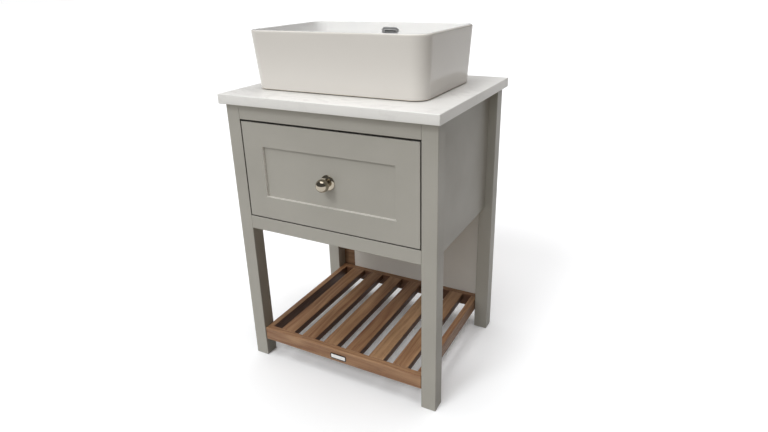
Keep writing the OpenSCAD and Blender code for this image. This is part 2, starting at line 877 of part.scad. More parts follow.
module shelf_plate() {
    placed() color(bright) {
        translate([0, shelf_y0, plate_z]) rotate([90, 0, 0]) linear_extrude(plate_t) rounded(plate_w, plate_h, plate_r);
        for (s = [-1, 1]) plate_pin(s, 0);
    }
}

// Drawer front

front_x = front_w / 2;
tenon_z = 12;

// Groove for the sunk panel, on the panel's own plane
module front_groove() {
    block([-front_x + frame_w - groove - slack, sunk - fit, front_z0 + frame_w - groove - slack],
        [front_x - frame_w + groove + slack, sunk + sunk_t + fit, front_z1 - frame_w + groove + slack]);
}

// Tenons of the two rails in the stiles
module rail_tenon(side, z, g) {
    x0 = side > 0 ? front_x - frame_w : -front_x + frame_w - groove * 3 - (g > 0 ? slack : 0);
    block([x0, sunk - g, z + tenon_z - g],
        [x0 + groove * 3 + (g > 0 ? slack : 0), sunk + sunk_t + g, z + frame_w - tenon_z + g]);
}

module drawer_stile(side) {
    x0 = side > 0 ? front_x - frame_w : -front_x;
    placed() color(paint) difference() {
        intersection() {
            eased([-front_x, 0, front_z0], [front_w, front_t, front_h], paint_arris);
            block([x0, -1, front_z0 - 1], [x0 + frame_w, front_t + 1, front_z1 + 1]);
        }
        front_groove();
        for (z = [front_z0, front_z1 - frame_w]) rail_tenon(side, z, fit);
        drawer_screw_holes();
    }
}

module drawer_rail(z) {
    placed() color(paint) difference() {
        union() {
            intersection() {
                eased([-front_x, 0, front_z0], [front_w, front_t, front_h], paint_arris);
                block([-front_x + frame_w, -1, z], [front_x - frame_w, front_t + 1, z + frame_w]);
            }
            for (s = [-1, 1]) rail_tenon(s, z, 0);
        }
        intersection() {
            front_groove();
            block([-front_x + frame_w, -1, front_z0], [front_x - frame_w, front_t + 1, front_z1]);
        }
        drawer_screw_holes();
    }
}

module drawer_panel() {
    placed() color(paint) difference() {
        block([-front_x + frame_w - groove, sunk, front_z0 + frame_w - groove],
            [front_x - frame_w + groove, sunk + sunk_t, front_z1 - frame_w + groove]);
        knob_hole();
    }
}

// Drawer box

// Screws from the box front: four into the lower rail, one into each stile
drawer_screw_l = box_t + 12;
front_screw_in = 19;
drawer_screw_at = [
    for (s = [-1, 1]) each [
        [s * front_w / 10, front_z0 + frame_w / 2],
        [s * (front_x - frame_w - front_screw_in), front_z0 + frame_w / 2],
        [s * (front_x - frame_w + front_screw_in), box_z + box_h - front_screw_in]
    ]
];

module drawer_screw_holes() {
    for (p = drawer_screw_at) front_screw(p, fit);
}

// Screw from behind through the box front, wider by g for its hole
module front_screw(p, g) {
    head_y = box_y0 + box_t - screw_head_t;
    tip_y = box_y0 + box_t - drawer_screw_l - (g > 0 ? slack : 0);
    rod_y([p[0], head_y - g, p[1]], screw_head_t + (g > 0 ? 1 : 0), screw_head_d + 2 * g);
    rod_y([p[0], tip_y, p[1]], head_y - tip_y, screw_d + 2 * g);
}

// Screws of the drawer front and of the moving runner members
module drawer_screws() {
    placed() color(steel) {
        for (p = drawer_screw_at) front_screw(p, 0);
        for (s = [-1, 1], y = runner_screw_y) runner_screw(-s, s * (box_x + runner_sheet), y);
    }
}

module bottom_groove() {
    block([-box_x + box_t - box_groove - slack, box_y0 + box_t - box_groove - slack, bottom_z - fit],
        [box_x - box_t + box_groove + slack, box_y1 + 1, bottom_z + bottom_t + fit]);
}

module drawer_side(side) {
    x0 = side > 0 ? box_x - box_t : -box_x;
    placed() color(birch) difference() {
        eased([x0, box_y0, box_z], [box_t, box_y1 - box_y0, box_h], wood_arris);
        bottom_groove();
        for (y = runner_screw_y)
            rod_x([side * box_x - box_t, y, runner_z], 2 * box_t, screw_d + 2 * fit);
    }
}

module drawer_box_front() {
    placed() color(birch) difference() {
        block([-box_x + box_t, box_y0, box_z], [box_x - box_t, box_y0 + box_t, box_z + box_h]);
        bottom_groove();
        drawer_screw_holes();
        knob_hole();
    }
}

// Upright board of the drawer box between two plan corners, standing on the bottom
module box_board(x0, y0, x1, y1) {
    placed() color(birch) block([x0, y0, bottom_z + bottom_t + fit], [x1, y1, box_z + box_h]);
}

// Short back board beside the notch
module drawer_back(side) {
    x0 = well_x + well_t;
    x1 = box_x - box_t;
    box_board(side > 0 ? x0 : -x1, box_y1 - box_t, side > 0 ? x1 : -x0, box_y1);
}

// Board along one side of the notch
module drawer_well_side(side) {
    box_board(side > 0 ? well_x : -well_x - well_t, well_y, side > 0 ? well_x + well_t : -well_x, box_y1);
}

module drawer_well_front() {
    box_board(-well_x - well_t, well_y - well_t, well_x + well_t, well_y);
}

module drawer_bottom() {
    placed() color(birch) difference() {
        block([-box_x + box_t - box_groove, box_y0 + box_t - box_groove, bottom_z],
            [box_x - box_t + box_groove, box_y1, bottom_z + bottom_t]);
        block([-well_x, well_y, bottom_z - 1], [well_x, box_y1 + 1, bottom_z + bottom_t + 1]);
    }
}

// Knob

knob_screw_d = 4;
module knob_hole() {
    rod_y([0, 0, knob_z], box_y0 + box_t + 5, knob_screw_d + 2 * fit);
}

rose_edge = rose_t / 2;
rose_bevel = 4;
neck_flare = 4;
flare_t = 3;
thread_in = 12;
knob_head_d = 9;
knob_head_t = 2.5;

module knob_rose() {
    placed() color(bright) translate([0, sunk, knob_z]) rotate([90, 0, 0]) difference() {
        union() {
            cylinder(h = rose_edge, d = rose_d, $fn = 64);
            translate([0, 0, rose_edge])
                cylinder(h = rose_t - rose_edge, d1 = rose_d, d2 = rose_d - 2 * rose_bevel, $fn = 64);
        }
        translate([0, 0, -1]) cylinder(h = rose_t + 2, d = knob_screw_d + 2 * fit, $fn = 32);
    }
}

// Ball on a waisted neck, with a blind hole for the screw
module knob() {
    placed() color(bright) translate([0, sunk - rose_t, knob_z]) rotate([90, 0, 0]) difference() {
        union() {
            translate([0, 0, ball_out - rose_t]) sphere(d = ball_d, $fn = 64);
            cylinder(h = ball_out - rose_t, d = neck_d, $fn = 48);
            cylinder(h = flare_t, d1 = neck_d + 2 * neck_flare, d2 = neck_d, $fn = 48);
        }
        translate([0, 0, -1]) cylinder(h = thread_in + 1 + slack, d = knob_screw_d + 2 * fit, $fn = 32);
    }
}

// Screw from inside the drawer through the box front and the sunk panel
module knob_screw() {
    tip = sunk - rose_t - thread_in;
    placed() color(steel) {
        rod_y([0, tip, knob_z], box_y0 + box_t - tip, knob_screw_d);
        rod_y([0, box_y0 + box_t, knob_z], knob_head_t, knob_head_d);
    }
}

// Runners

// Profile of a member as a channel: web from u0 to u0 + sheet, flanges up to u1, at half height v
module channel(u0, u1, v, web_first) {
    t = runner_sheet;
    difference() {
        translate([u0, -v]) square([u1 - u0, 2 * v]);
        translate([u0 + (web_first ? t : -1), -v + t]) square([u1 - u0 - t + 1, 2 * (v - t)]);
    }
}

// Extrudes a profile along +Y from y, u counted from the cabinet side towards the drawer
module runner(side, y, l) {
    translate([side * inner_x, y, runner_z]) mirror([side > 0 ? 1 : 0, 0, 0])
        translate([0, l, 0]) rotate([90, 0, 0]) linear_extrude(l) children();
}

v_out = runner_h / 2;
v_mid = v_out - runner_sheet - runner_gap;
v_in = v_mid - runner_sheet - runner_gap;
runner_screw_in = 40;
runner_screw_y = [
    runner_y + runner_screw_in, runner_y + inner_len / 2, box_y1 - runner_screw_in
];

module runner_outer(side) {
    placed() color(steel) difference() {
        runner(side, runner_y, runner_len) channel(0, outer_u1, v_out, true);
        for (y = runner_screw_y) rod_x([side * inner_x - 3, y, runner_z], 6, screw_d + 2 * fit);
    }
}

module runner_middle(side) {
    placed() color(steel)
        runner(side, runner_y, middle_len) channel(middle_u0, middle_u1, v_mid, true);
}

module runner_inner(side) {
    placed() color(steel) difference() {
        runner(side, runner_y, inner_len) channel(inner_u0, runner_w, v_in, false);
        for (y = runner_screw_y) rod_x([side * box_x - 3, y, runner_z], 6, screw_d + 2 * fit);
    }
}

// Screw along +X (side 1) or -X (side -1) whose head bears on a sheet at x
module runner_screw(side, x, y) {
    translate([x, y, runner_z]) rotate([0, 90 * side, 0]) {
        translate([0, 0, -runner_head_t]) cylinder(h = runner_head_t, d = screw_head_d, $fn = 32);
        cylinder(h = runner_screw_l, d = screw_d, $fn = 32);
    }
}

module leg_front_left() {
    placed() leg_front(-1);
}

module leg_front_right() {
    placed() leg_front(1);
}

module leg_back_left() {
    placed() leg_back(-1);
}

module leg_back_right() {
    placed() leg_back(1);
}

leg_front_left();
leg_front_right();
leg_back_left();
leg_back_right();
front_rail_top();
front_rail_bottom();
rear_rail();
side_panel(-1);  // side_panel_left
side_panel(1);  // side_panel_right
back_board();
back_panel();
top_cleat(-1);  // top_cleat_left
top_cleat(1);  // top_cleat_right
dowels();
cabinet_screws();
countertop();
basin();
basin_seal();
overflow_trim();
waste_body();
waste_washer_top();
waste_washer_bottom();
waste_backnut();
click_cartridge();
waste_plug();
shelf_rail_front();
shelf_rail_back();
shelf_side_rail(-1);  // shelf_rail_left
shelf_side_rail(1);  // shelf_rail_right
shelf_slat(0);  // shelf_slat_1
shelf_slat(1);  // shelf_slat_2
shelf_slat(2);  // shelf_slat_3
shelf_slat(3);  // shelf_slat_4
shelf_slat(4);  // shelf_slat_5
shelf_slat(5);  // shelf_slat_6
shelf_plate();
drawer_stile(-1);  // drawer_stile_left
drawer_stile(1);  // drawer_stile_right
drawer_rail(front_z1 - frame_w);  // drawer_rail_top
drawer_rail(front_z0);  // drawer_rail_bottom
drawer_panel();
drawer_side(-1);  // drawer_side_left
drawer_side(1);  // drawer_side_right
drawer_box_front();
drawer_back(-1);  // drawer_back_left
drawer_back(1);  // drawer_back_right
drawer_bottom();
drawer_well_side(-1);  // drawer_well_left
drawer_well_side(1);  // drawer_well_right
drawer_well_front();
drawer_screws();
knob();
knob_rose();
knob_screw();
runner_outer(-1);  // runner_outer_left
runner_outer(1);  // runner_outer_right
runner_middle(-1);  // runner_middle_left
runner_middle(1);  // runner_middle_right
runner_inner(-1);  // runner_inner_left
runner_inner(1);  // runner_inner_right
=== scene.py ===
"""Looks of a washstand: painted cabinet, oak shelf, marble top and glazed basin.

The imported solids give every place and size. A piece whose surface a mould, a lathe or a plane
leaves softer than its solid is made again here as a fine surface worked out with numpy; the
others keep their solid and get their finish only. Lengths are in metres.
"""

import json
import logging
import math
from dataclasses import dataclass, field
from enum import Enum

import bpy
import numpy as np
from mathutils import Matrix, Vector

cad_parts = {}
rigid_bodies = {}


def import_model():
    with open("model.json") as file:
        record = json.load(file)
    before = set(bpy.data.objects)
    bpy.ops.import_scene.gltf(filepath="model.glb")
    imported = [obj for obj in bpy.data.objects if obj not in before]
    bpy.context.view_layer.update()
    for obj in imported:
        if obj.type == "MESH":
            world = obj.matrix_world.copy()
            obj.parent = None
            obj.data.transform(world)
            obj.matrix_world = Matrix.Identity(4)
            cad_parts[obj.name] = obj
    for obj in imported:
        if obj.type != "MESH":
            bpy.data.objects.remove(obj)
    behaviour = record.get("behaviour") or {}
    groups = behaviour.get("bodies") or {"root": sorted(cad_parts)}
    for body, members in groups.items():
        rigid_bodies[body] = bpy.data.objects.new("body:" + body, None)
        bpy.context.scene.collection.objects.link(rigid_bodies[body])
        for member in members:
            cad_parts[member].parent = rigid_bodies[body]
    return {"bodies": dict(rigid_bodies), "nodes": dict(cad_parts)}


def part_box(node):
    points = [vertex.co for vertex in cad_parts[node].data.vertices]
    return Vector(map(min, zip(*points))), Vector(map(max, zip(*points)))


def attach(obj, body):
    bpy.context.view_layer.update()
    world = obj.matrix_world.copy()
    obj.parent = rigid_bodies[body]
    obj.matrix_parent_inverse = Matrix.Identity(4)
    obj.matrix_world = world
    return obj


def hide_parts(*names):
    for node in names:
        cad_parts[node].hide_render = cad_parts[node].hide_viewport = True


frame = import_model()

LOG = logging.getLogger("washstand")
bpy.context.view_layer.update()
PAPER_WHITE = (1.0, 1.0, 1.0, 1.0)
# Radius at which a turned piece closes on its axis, and the gap under a piece that sits on another
HAIR = 0.00005
# Bevel that breaks a sharp machined edge
BREAK = 0.0004
# Lengths closer than this are the same
NEARLY = 0.00001

Socket = bpy.types.NodeSocket


class Axis(Enum):
    """The three directions of the frame, as indices into a point."""

    X = 0
    Y = 1
    Z = 2

    def first(self) -> list:
        """The three indices in turn, this one first."""
        return [self.value, (self.value + 1) % 3, (self.value + 2) % 3]


def leaned(place: tuple, angle: float) -> Matrix:
    """A turn about the first axis, then a move to a place."""
    return Matrix.Translation(place) @ Matrix.Rotation(angle, 4, "X")


def both(*names: str) -> list:
    """The left and the right node of each name."""
    return [f"{name}_{side}" for name in names for side in ("left", "right")]


def centre(node: str) -> Vector:
    """Middle of a CAD node's box at rest."""
    low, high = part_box(node)
    return (low + high) / 2


# Surfaces


@dataclass
class Shell:
    """One closed surface: points, and faces as lists of point numbers."""

    points: np.ndarray
    faces: list

    def placed(self, matrix: Matrix) -> "Shell":
        """The same surface, turned and moved.

        Args:
            matrix: Rotation and translation from the surface's own axes to the frame.

        Returns:
            A new shell. Each point is the matrix times the old point.
        """
        grid = np.array(matrix)
        return Shell(self.points @ grid[:3, :3].T + grid[:3, 3], self.faces)


def outline(width: float, depth: float, radius: float, arc: int = 8, cuts: int = 3) -> np.ndarray:
    """Points round a rounded rectangle, anticlockwise from its right side.

    Each corner is a quarter circle, its centre plus the radius times the cosine and sine of the
    angle. Each side runs straight from the last point of a corner to the first of the next one,
    with one point close to each end so that shading stays flat in between.

    Args:
        width: Size along the first axis.
        depth: Size along the second axis.
        radius: Radius of the corners.
        arc: Steps in each corner.
        cuts: Evenly spaced points on each side.

    Returns:
        Array of points, one row each.
    """
    near = 0.004
    signs = np.array([[1, 1], [-1, 1], [-1, -1], [1, -1]])
    centres = signs * (np.array([width, depth]) / 2 - radius)
    angles = np.arange(4)[:, None] * math.pi / 2 + np.linspace(0, math.pi / 2, arc + 1)
    corners = centres[:, None] + radius * np.stack([np.cos(angles), np.sin(angles)], axis=-1)
    along = np.concatenate([[near], np.linspace(0, 1, cuts + 2)[1:-1], [1 - near]])
    starts, ends = corners[:, -1], np.roll(corners[:, 0], -1, axis=0)
    sides = starts[:, None] + along[None, :, None] * (ends - starts)[:, None]
    return np.concatenate([corners, sides], axis=1).reshape(-1, 2)


def round_like(ring: np.ndarray, radius: float) -> np.ndarray:
    """A circle whose points lie in the same directions as those of a ring round the middle."""
    return ring / np.linalg.norm(ring, axis=1, keepdims=True) * radius


def level(ring: np.ndarray, height: float, middle: tuple = (0, 0)) -> np.ndarray:
    """A flat ring moved to its middle in plan and lifted to a height."""
    return np.column_stack([ring + np.array(middle)[:2], np.full(len(ring), height)])


def skin(rings: list, around: bool = False) -> Shell:
    """A surface through rings of equally many points.

    The grid's first parameter counts the rings and its second one goes round each ring. Each
    face joins two neighbours on one ring to the same two on the next ring.

    Args:
        rings: Rings in order, anticlockwise when seen from where the surface grows to.
        around: Join the last ring to the first one, as on a ring-shaped solid. Otherwise both
            ends are closed with a flat face.

    Returns:
        The closed shell.
    """
    stack = np.stack(rings)
    count, size = stack.shape[:2]
    here = np.arange(count * size).reshape(count, size)
    there = np.roll(here, -1, axis=0)
    if not around:
        here, there = here[:-1], there[:-1]
    quads = np.stack([here, np.roll(here, -1, 1), np.roll(there, -1, 1), there], axis=-1)
    faces = quads.reshape(-1, 4).tolist()
    if not around:
        faces.append(list(range(size))[::-1])
        faces.append(list(range((count - 1) * size, count * size)))
    return Shell(stack.reshape(-1, 3), faces)


def turned(profile: np.ndarray, around: bool = False, steps: int = 96) -> Shell:
    """A profile turned about the third axis.

    Each point is the profile's radius times the cosine and sine of the angle, at the profile's
    height.

    Args:
        profile: Rows of radius and height, the solid on its left.
        around: The profile is closed and doesn't touch the axis.
        steps: Points round the axis.

    Returns:
        The closed shell.
    """
    angle = np.linspace(0, 2 * math.pi, steps, endpoint=False)
    circle = np.stack([np.cos(angle), np.sin(angle)], axis=-1)
    return skin([level(circle * radius, height) for radius, height in profile], around)


def bow(radius: float, start: float, stop: float, steps: int, middle: tuple) -> np.ndarray:
    """Points of an arc, the middle plus the radius times the cosine and sine of the angle.

    Args:
        radius: Radius of the arc.
        start: First angle in degrees.
        stop: Last angle in degrees.
        steps: Steps between them.
        middle: Centre of the arc.

    Returns:
        Rows of two numbers each.
    """
    angle = np.radians(np.linspace(start, stop, steps + 1))
    return np.array(middle) + radius * np.stack([np.cos(angle), np.sin(angle)], axis=-1)


def planed(low: Vector, high: Vector, ease: float, run: Axis) -> Shell:
    """A board with every edge rounded over.

    Cross sections are rounded rectangles carried along the board. Towards each end they shrink
    by the radius times one minus the sine of the angle, while they move by one minus its cosine.
    One more section beside each arc keeps the shading of the flat faces flat.

    Args:
        low: Lowest corner.
        high: Highest corner.
        ease: Radius of the edges.
        run: Direction of the board's length.

    Returns:
        The closed shell.
    """
    order = [*run.first()[1:], run.value]
    start, size = np.array(low)[order], (np.array(high) - np.array(low))[order]
    tiny, beside = 0.00004, ease + 0.0006
    turn = np.radians(np.linspace(0, 90, 6))
    shrink, move = ease * (1 - np.sin(turn)), ease * (1 - np.cos(turn))
    shrink = np.concatenate([[beside], shrink, [0, 0], shrink[::-1], [beside]])
    half = np.concatenate([[0], move, [beside]])
    place = np.concatenate([half, size[2] - half[::-1]])
    rings = [
        level(outline(size[0] - 2 * s, size[1] - 2 * s, max(ease - s, tiny), 5, 1), p)
        for s, p in zip(shrink, place)
    ]
    shell = skin(rings)
    points = np.empty_like(shell.points)
    points[:, order] = shell.points + start + np.array([size[0], size[1], 0]) / 2
    return Shell(points, shell.faces)


def coordinates(mesh: bpy.types.Mesh) -> np.ndarray:
    """Where the points of a mesh are.

    Args:
        mesh: The mesh.

    Returns:
        Its points, one row each.
    """
    points = np.zeros(len(mesh.vertices) * 3)
    mesh.vertices.foreach_get("co", points)
    return points.reshape(-1, 3)


def mark(mesh: bpy.types.Mesh, name: str, values: np.ndarray) -> None:
    """Writes a number or a place for each point of a mesh, for its material to read."""
    kind, key = ("FLOAT", "value") if values.ndim == 1 else ("FLOAT_VECTOR", "vector")
    mesh.attributes.new(name, kind, "POINT").data.foreach_set(key, values.ravel())


def made(name: str, shells: list, finish: bpy.types.Material, crease: float = 35) -> bpy.types.Object:
    """A new piece from closed shells.

    Args:
        name: Name of the piece.
        shells: Its surfaces.
        finish: Its material.
        crease: Edges sharper than this, in degrees, stay sharp in the shading.

    Returns:
        The object, at the origin, with its place in its mesh.
    """
    starts = np.cumsum([0] + [len(s.points) for s in shells])
    points = np.concatenate([s.points for s in shells])
    faces = [[n + start for n in f] for s, start in zip(shells, starts) for f in s.faces]
    mesh = bpy.data.meshes.new(name)
    mesh.from_pydata(points.tolist(), [], faces)
    mesh.shade_smooth()
    mesh.set_sharp_from_angle(angle=math.radians(crease))
    mesh.materials.append(finish)
    mesh.update()
    piece = bpy.data.objects.new(name, mesh)
    bpy.context.scene.collection.objects.link(piece)
    return piece


def hollowed(piece: bpy.types.Object, tool: Shell, finish: bpy.types.Material) -> None:
    """Cuts a shell's room out of a piece.

    Args:
        piece: The piece to cut.
        tool: Closed shell of what is taken away.
        finish: Material of the new faces.
    """
    cutter = made(piece.name + "_tool", [tool], finish)
    cut = piece.modifiers.new("cut", "BOOLEAN")
    cut.operation, cut.solver, cut.object = "DIFFERENCE", "EXACT", cutter
    cut.material_mode = "TRANSFER"
    view = bpy.context.evaluated_depsgraph_get()
    shaped = bpy.data.meshes.new_from_object(piece.evaluated_get(view))
    piece.modifiers.clear()
    old, piece.data = piece.data, shaped
    bpy.data.objects.remove(cutter)
    bpy.data.meshes.remove(old)


# Materials


class Bench:
    """Puts nodes into one tree and links them."""

    def __init__(self, tree: bpy.types.NodeTree) -> None:
        """Takes the tree to fill."""
        self.tree = tree

    def put(self, kind: str, feeds: dict, **settings: object) -> bpy.types.Node:
        """Adds one node.

        Args:
            kind: Name of the node type without its common start.
            feeds: What goes into each input, a socket or a value.
            settings: Properties of the node itself.

        Returns:
            The node.
        """
        node = self.tree.nodes.new("ShaderNode" + kind)
        for name, value in settings.items():
            setattr(node, name, value)
        self.lead(feeds, node.inputs)
        return node

    def lead(self, feeds: dict, inputs: bpy.types.bpy_prop_collection) -> None:
        """Feeds the inputs of a node.

        Args:
            feeds: A socket to link or a value to set, by the input's name or number.
            inputs: The node's inputs.
        """
        for key, value in feeds.items():
            if isinstance(value, Socket):
                self.tree.links.new(value, inputs[key])
            else:
                inputs[key].default_value = value

    def math(self, operation: str, *terms: object) -> Socket:
        """Result of a Math node on sockets or numbers."""
        return self.put("Math", dict(enumerate(terms)), operation=operation).outputs[0]

    def times(self, first: object, second: object) -> Socket:
        """Product of two sockets or numbers."""
        return self.math("MULTIPLY", first, second)

    def span(self, value: Socket, low: float, high: float, start: float = 0, stop: float = 1) -> Socket:
        """A value from low to high, carried over to another range and held inside it."""
        return self.put("MapRange", {0: value, 1: low, 2: high, 3: start, 4: stop}).outputs[0]

    def blend(self, share: object, first: object, second: object) -> Socket:
        """Two colours mixed by a share from 0 to 1."""
        return self.put("Mix", {0: share, 6: first, 7: second}, data_type="RGBA").outputs[2]

    def noise(self, place: Socket, scale: object, detail: float, rough: float = 0.5) -> Socket:
        """Value of a noise at a place, from 0 to 1 and mostly near the middle."""
        feeds = {"Vector": place, "Scale": scale, "Detail": detail, "Roughness": rough}
        return self.put("TexNoise", feeds).outputs[0]

    def stretch(self, place: Socket, sizes: tuple, shift: tuple = (0, 0, 0)) -> Socket:
        """A place with each coordinate scaled and then shifted."""
        return self.put("Mapping", {"Vector": place, "Scale": sizes, "Location": shift}).outputs[0]

    def split(self, vector: Socket) -> bpy.types.bpy_prop_collection:
        """The three coordinates of a vector."""
        return self.put("SeparateXYZ", {0: vector}).outputs

    def within(self, place: Socket, low: tuple, high: tuple) -> Socket:
        """Mask of a box, from the place as a share of the box's half sizes.

        Args:
            place: Place in the frame.
            low: Lowest corner of the box.
            high: Highest corner of the box.

        Returns:
            1 inside the box and 0 outside.
        """
        scale = [2 / (b - a) for a, b in zip(low, high)]
        shift = [-(a + b) / 2 * s for a, b, s in zip(low, high, scale)]
        x, y, z = [self.math("ABSOLUTE", part) for part in self.split(self.stretch(place, scale, shift))]
        return self.math("LESS_THAN", self.math("MAXIMUM", self.math("MAXIMUM", x, y), z), 1.0)

    def looks(self, axis: Axis) -> Socket:
        """How far a face looks along an axis, from -1 to 1."""
        return self.split(self.put("NewGeometry", {}).outputs["True Normal"])[axis.value]

    def lean(self, first: Socket, second: Socket) -> Socket:
        """Cosine of the angle between two directions."""
        return self.put("VectorMath", {0: first, 1: second}, operation="DOT_PRODUCT").outputs["Value"]

    def group(self, name: str, feeds: dict) -> bpy.types.bpy_prop_collection:
        """Puts in a shared group and gives its outputs."""
        return self.put("Group", feeds, node_tree=bpy.data.node_groups[name]).outputs

    def patches(self, place: Socket, size: float) -> Socket:
        """Soft patches about as wide as the size, from 0 to 1."""
        return self.group("clouds", {"Place": place, "Size": size})["Patch"]

    def grit(self, place: Socket, size: float) -> Socket:
        """Height of fine bumps about as wide as the size."""
        return self.group("fine_grit", {"Place": place, "Size": size})["Height"]

    def edges(self, radius: float) -> bpy.types.bpy_prop_collection:
        """Mask of the sharp edges, and the normal that rounds them."""
        return self.group("soft_edges", {"Radius": radius})

    def finish(self, shader: bpy.types.Node, tint: Socket, rough: Socket, height: Socket,
               relief: tuple, normal: Socket | None = None) -> None:
        """Leads a finish to its shader.

        Args:
            shader: The Principled shader.
            tint: Colour.
            rough: Roughness.
            height: Height of the bumps.
            relief: Strength of the bumps, and the distance that a height of 1 stands for.
            normal: Normal that the bumps lie on, where it isn't the mesh's own.
        """
        lift = {"Height": height, "Strength": relief[0], "Distance": relief[1]}
        if normal is not None:
            lift["Normal"] = normal
        bump = self.put("Bump", lift).outputs[0]
        self.lead({"Base Color": tint, "Roughness": rough, "Normal": bump}, shader.inputs)


class Effects:
    """The node groups that several materials use, known by their names."""

    def build(self) -> None:
        """Builds each group once."""
        self.soft_edges()
        self.clouds()
        self.fine_grit()
        self.timber_figure()

    def shared(self, name: str, inputs: dict, outputs: dict) -> tuple:
        """An empty node group with its sockets.

        Args:
            name: Name of the group.
            inputs: Kind of each input by name.
            outputs: Kind of each output by name.

        Returns:
            A bench on the group, its input node's outputs and its output node's inputs.
        """
        tree = bpy.data.node_groups.new(name, "ShaderNodeTree")
        for way, sockets in (("INPUT", inputs), ("OUTPUT", outputs)):
            for socket, kind in sockets.items():
                tree.interface.new_socket(name=socket, in_out=way, socket_type="NodeSocket" + kind)
        start, end = tree.nodes.new("NodeGroupInput"), tree.nodes.new("NodeGroupOutput")
        return Bench(tree), start.outputs, end.inputs

    def soft_edges(self) -> None:
        """Rounded shading along sharp edges, and a mask of them.

        Edge grows as the normal rounded over Radius leans away from the face's own one.
        """
        bench, given, out = self.shared(
            "soft_edges", {"Radius": "Float"}, {"Edge": "Float", "Normal": "Vector"})
        bevel = bench.put("Bevel", {"Radius": given["Radius"]}, samples=4).outputs[0]
        face = bench.put("NewGeometry", {}).outputs["Normal"]
        bench.lead({"Edge": bench.span(bench.lean(bevel, face), 0.995, 0.80), "Normal": bevel}, out)

    def clouds(self) -> None:
        """Soft uneven patches about as wide as Size."""
        bench, given, out = self.shared(
            "clouds", {"Place": "Vector", "Size": "Float"}, {"Patch": "Float"})
        wide = bench.noise(given["Place"], bench.math("DIVIDE", 1.0, given["Size"]), 4.0, 0.55)
        bench.lead({"Patch": bench.span(wide, 0.3, 0.7)}, out)

    def fine_grit(self) -> None:
        """Fine bumps such as those of sprayed paint, cast metal or rubber: one noise on another."""
        bench, given, out = self.shared(
            "fine_grit", {"Place": "Vector", "Size": "Float"}, {"Height": "Float"})
        scale = bench.math("DIVIDE", 1.0, given["Size"])
        coarse = bench.noise(given["Place"], scale, 2.0, 0.6)
        fine = bench.noise(given["Place"], bench.times(scale, 3.1), 1.0)
        bench.lead({"Height": bench.math("ADD", bench.times(coarse, 0.7), bench.times(fine, 0.3))}, out)

    def timber_figure(self) -> None:
        """Growth rings, streaks and pores of planed timber, the grain along Place's first part.

        The rings are a sine of the distance across the board, bent by a slow noise; streaks are
        a noise drawn out along the grain; pores are the highest parts of a much finer one.
        """
        bench, given, out = self.shared(
            "timber_figure", {"Place": "Vector", "Ring": "Float"},
            {"Tone": "Float", "Pore": "Float", "Height": "Float"})
        place = given["Place"]
        bend = bench.noise(bench.stretch(place, (2.2, 16, 16)), 1.0, 2.0)
        parts = bench.split(place)
        across = bench.math("ADD", parts[1], bench.times(parts[2], 0.45))
        bent = bench.math("ADD", across, bench.times(bend, 0.05))
        turns = bench.math("DIVIDE", bent, given["Ring"])
        ring = bench.span(bench.math("SINE", bench.times(turns, 2 * math.pi)), -1, 1)
        streak = bench.span(bench.noise(bench.stretch(place, (5, 190, 190)), 1.0, 4.0, 0.65), 0.3, 0.7)
        broad = bench.span(bench.noise(bench.stretch(place, (1.6, 28, 28)), 1.0, 2.0), 0.32, 0.68)
        fine = bench.noise(bench.stretch(place, (55, 1700, 1700)), 1.0, 2.0)
        pore = bench.times(bench.span(fine, 0.56, 0.68), bench.span(ring, 0.1, 0.8, 0.35, 1.0))
        tone = bench.math("ADD", bench.times(ring, 0.26), bench.times(streak, 0.42))
        tone = bench.math("ADD", tone, bench.times(broad, 0.32))
        height = bench.math("SUBTRACT", bench.times(streak, 0.4), pore)
        bench.lead({"Tone": tone, "Pore": pore, "Height": height}, out)


def fresh(name: str) -> tuple:
    """A new material with a Principled shader.

    Args:
        name: Name of the material.

    Returns:
        The material, a bench on its tree, its shader, and its object coordinates.
    """
    material = bpy.data.materials.new(name)
    material.use_nodes = True
    bench = Bench(material.node_tree)
    shader = material.node_tree.nodes["Principled BSDF"]
    return material, bench, shader, bench.put("TexCoord", {}).outputs["Object"]


def shaded(colour: tuple, share: float) -> tuple:
    """A colour made darker or paler by a share, with no channel above 1."""
    return tuple(min(c * share, 1.0) for c in colour[:3]) + (1.0,)


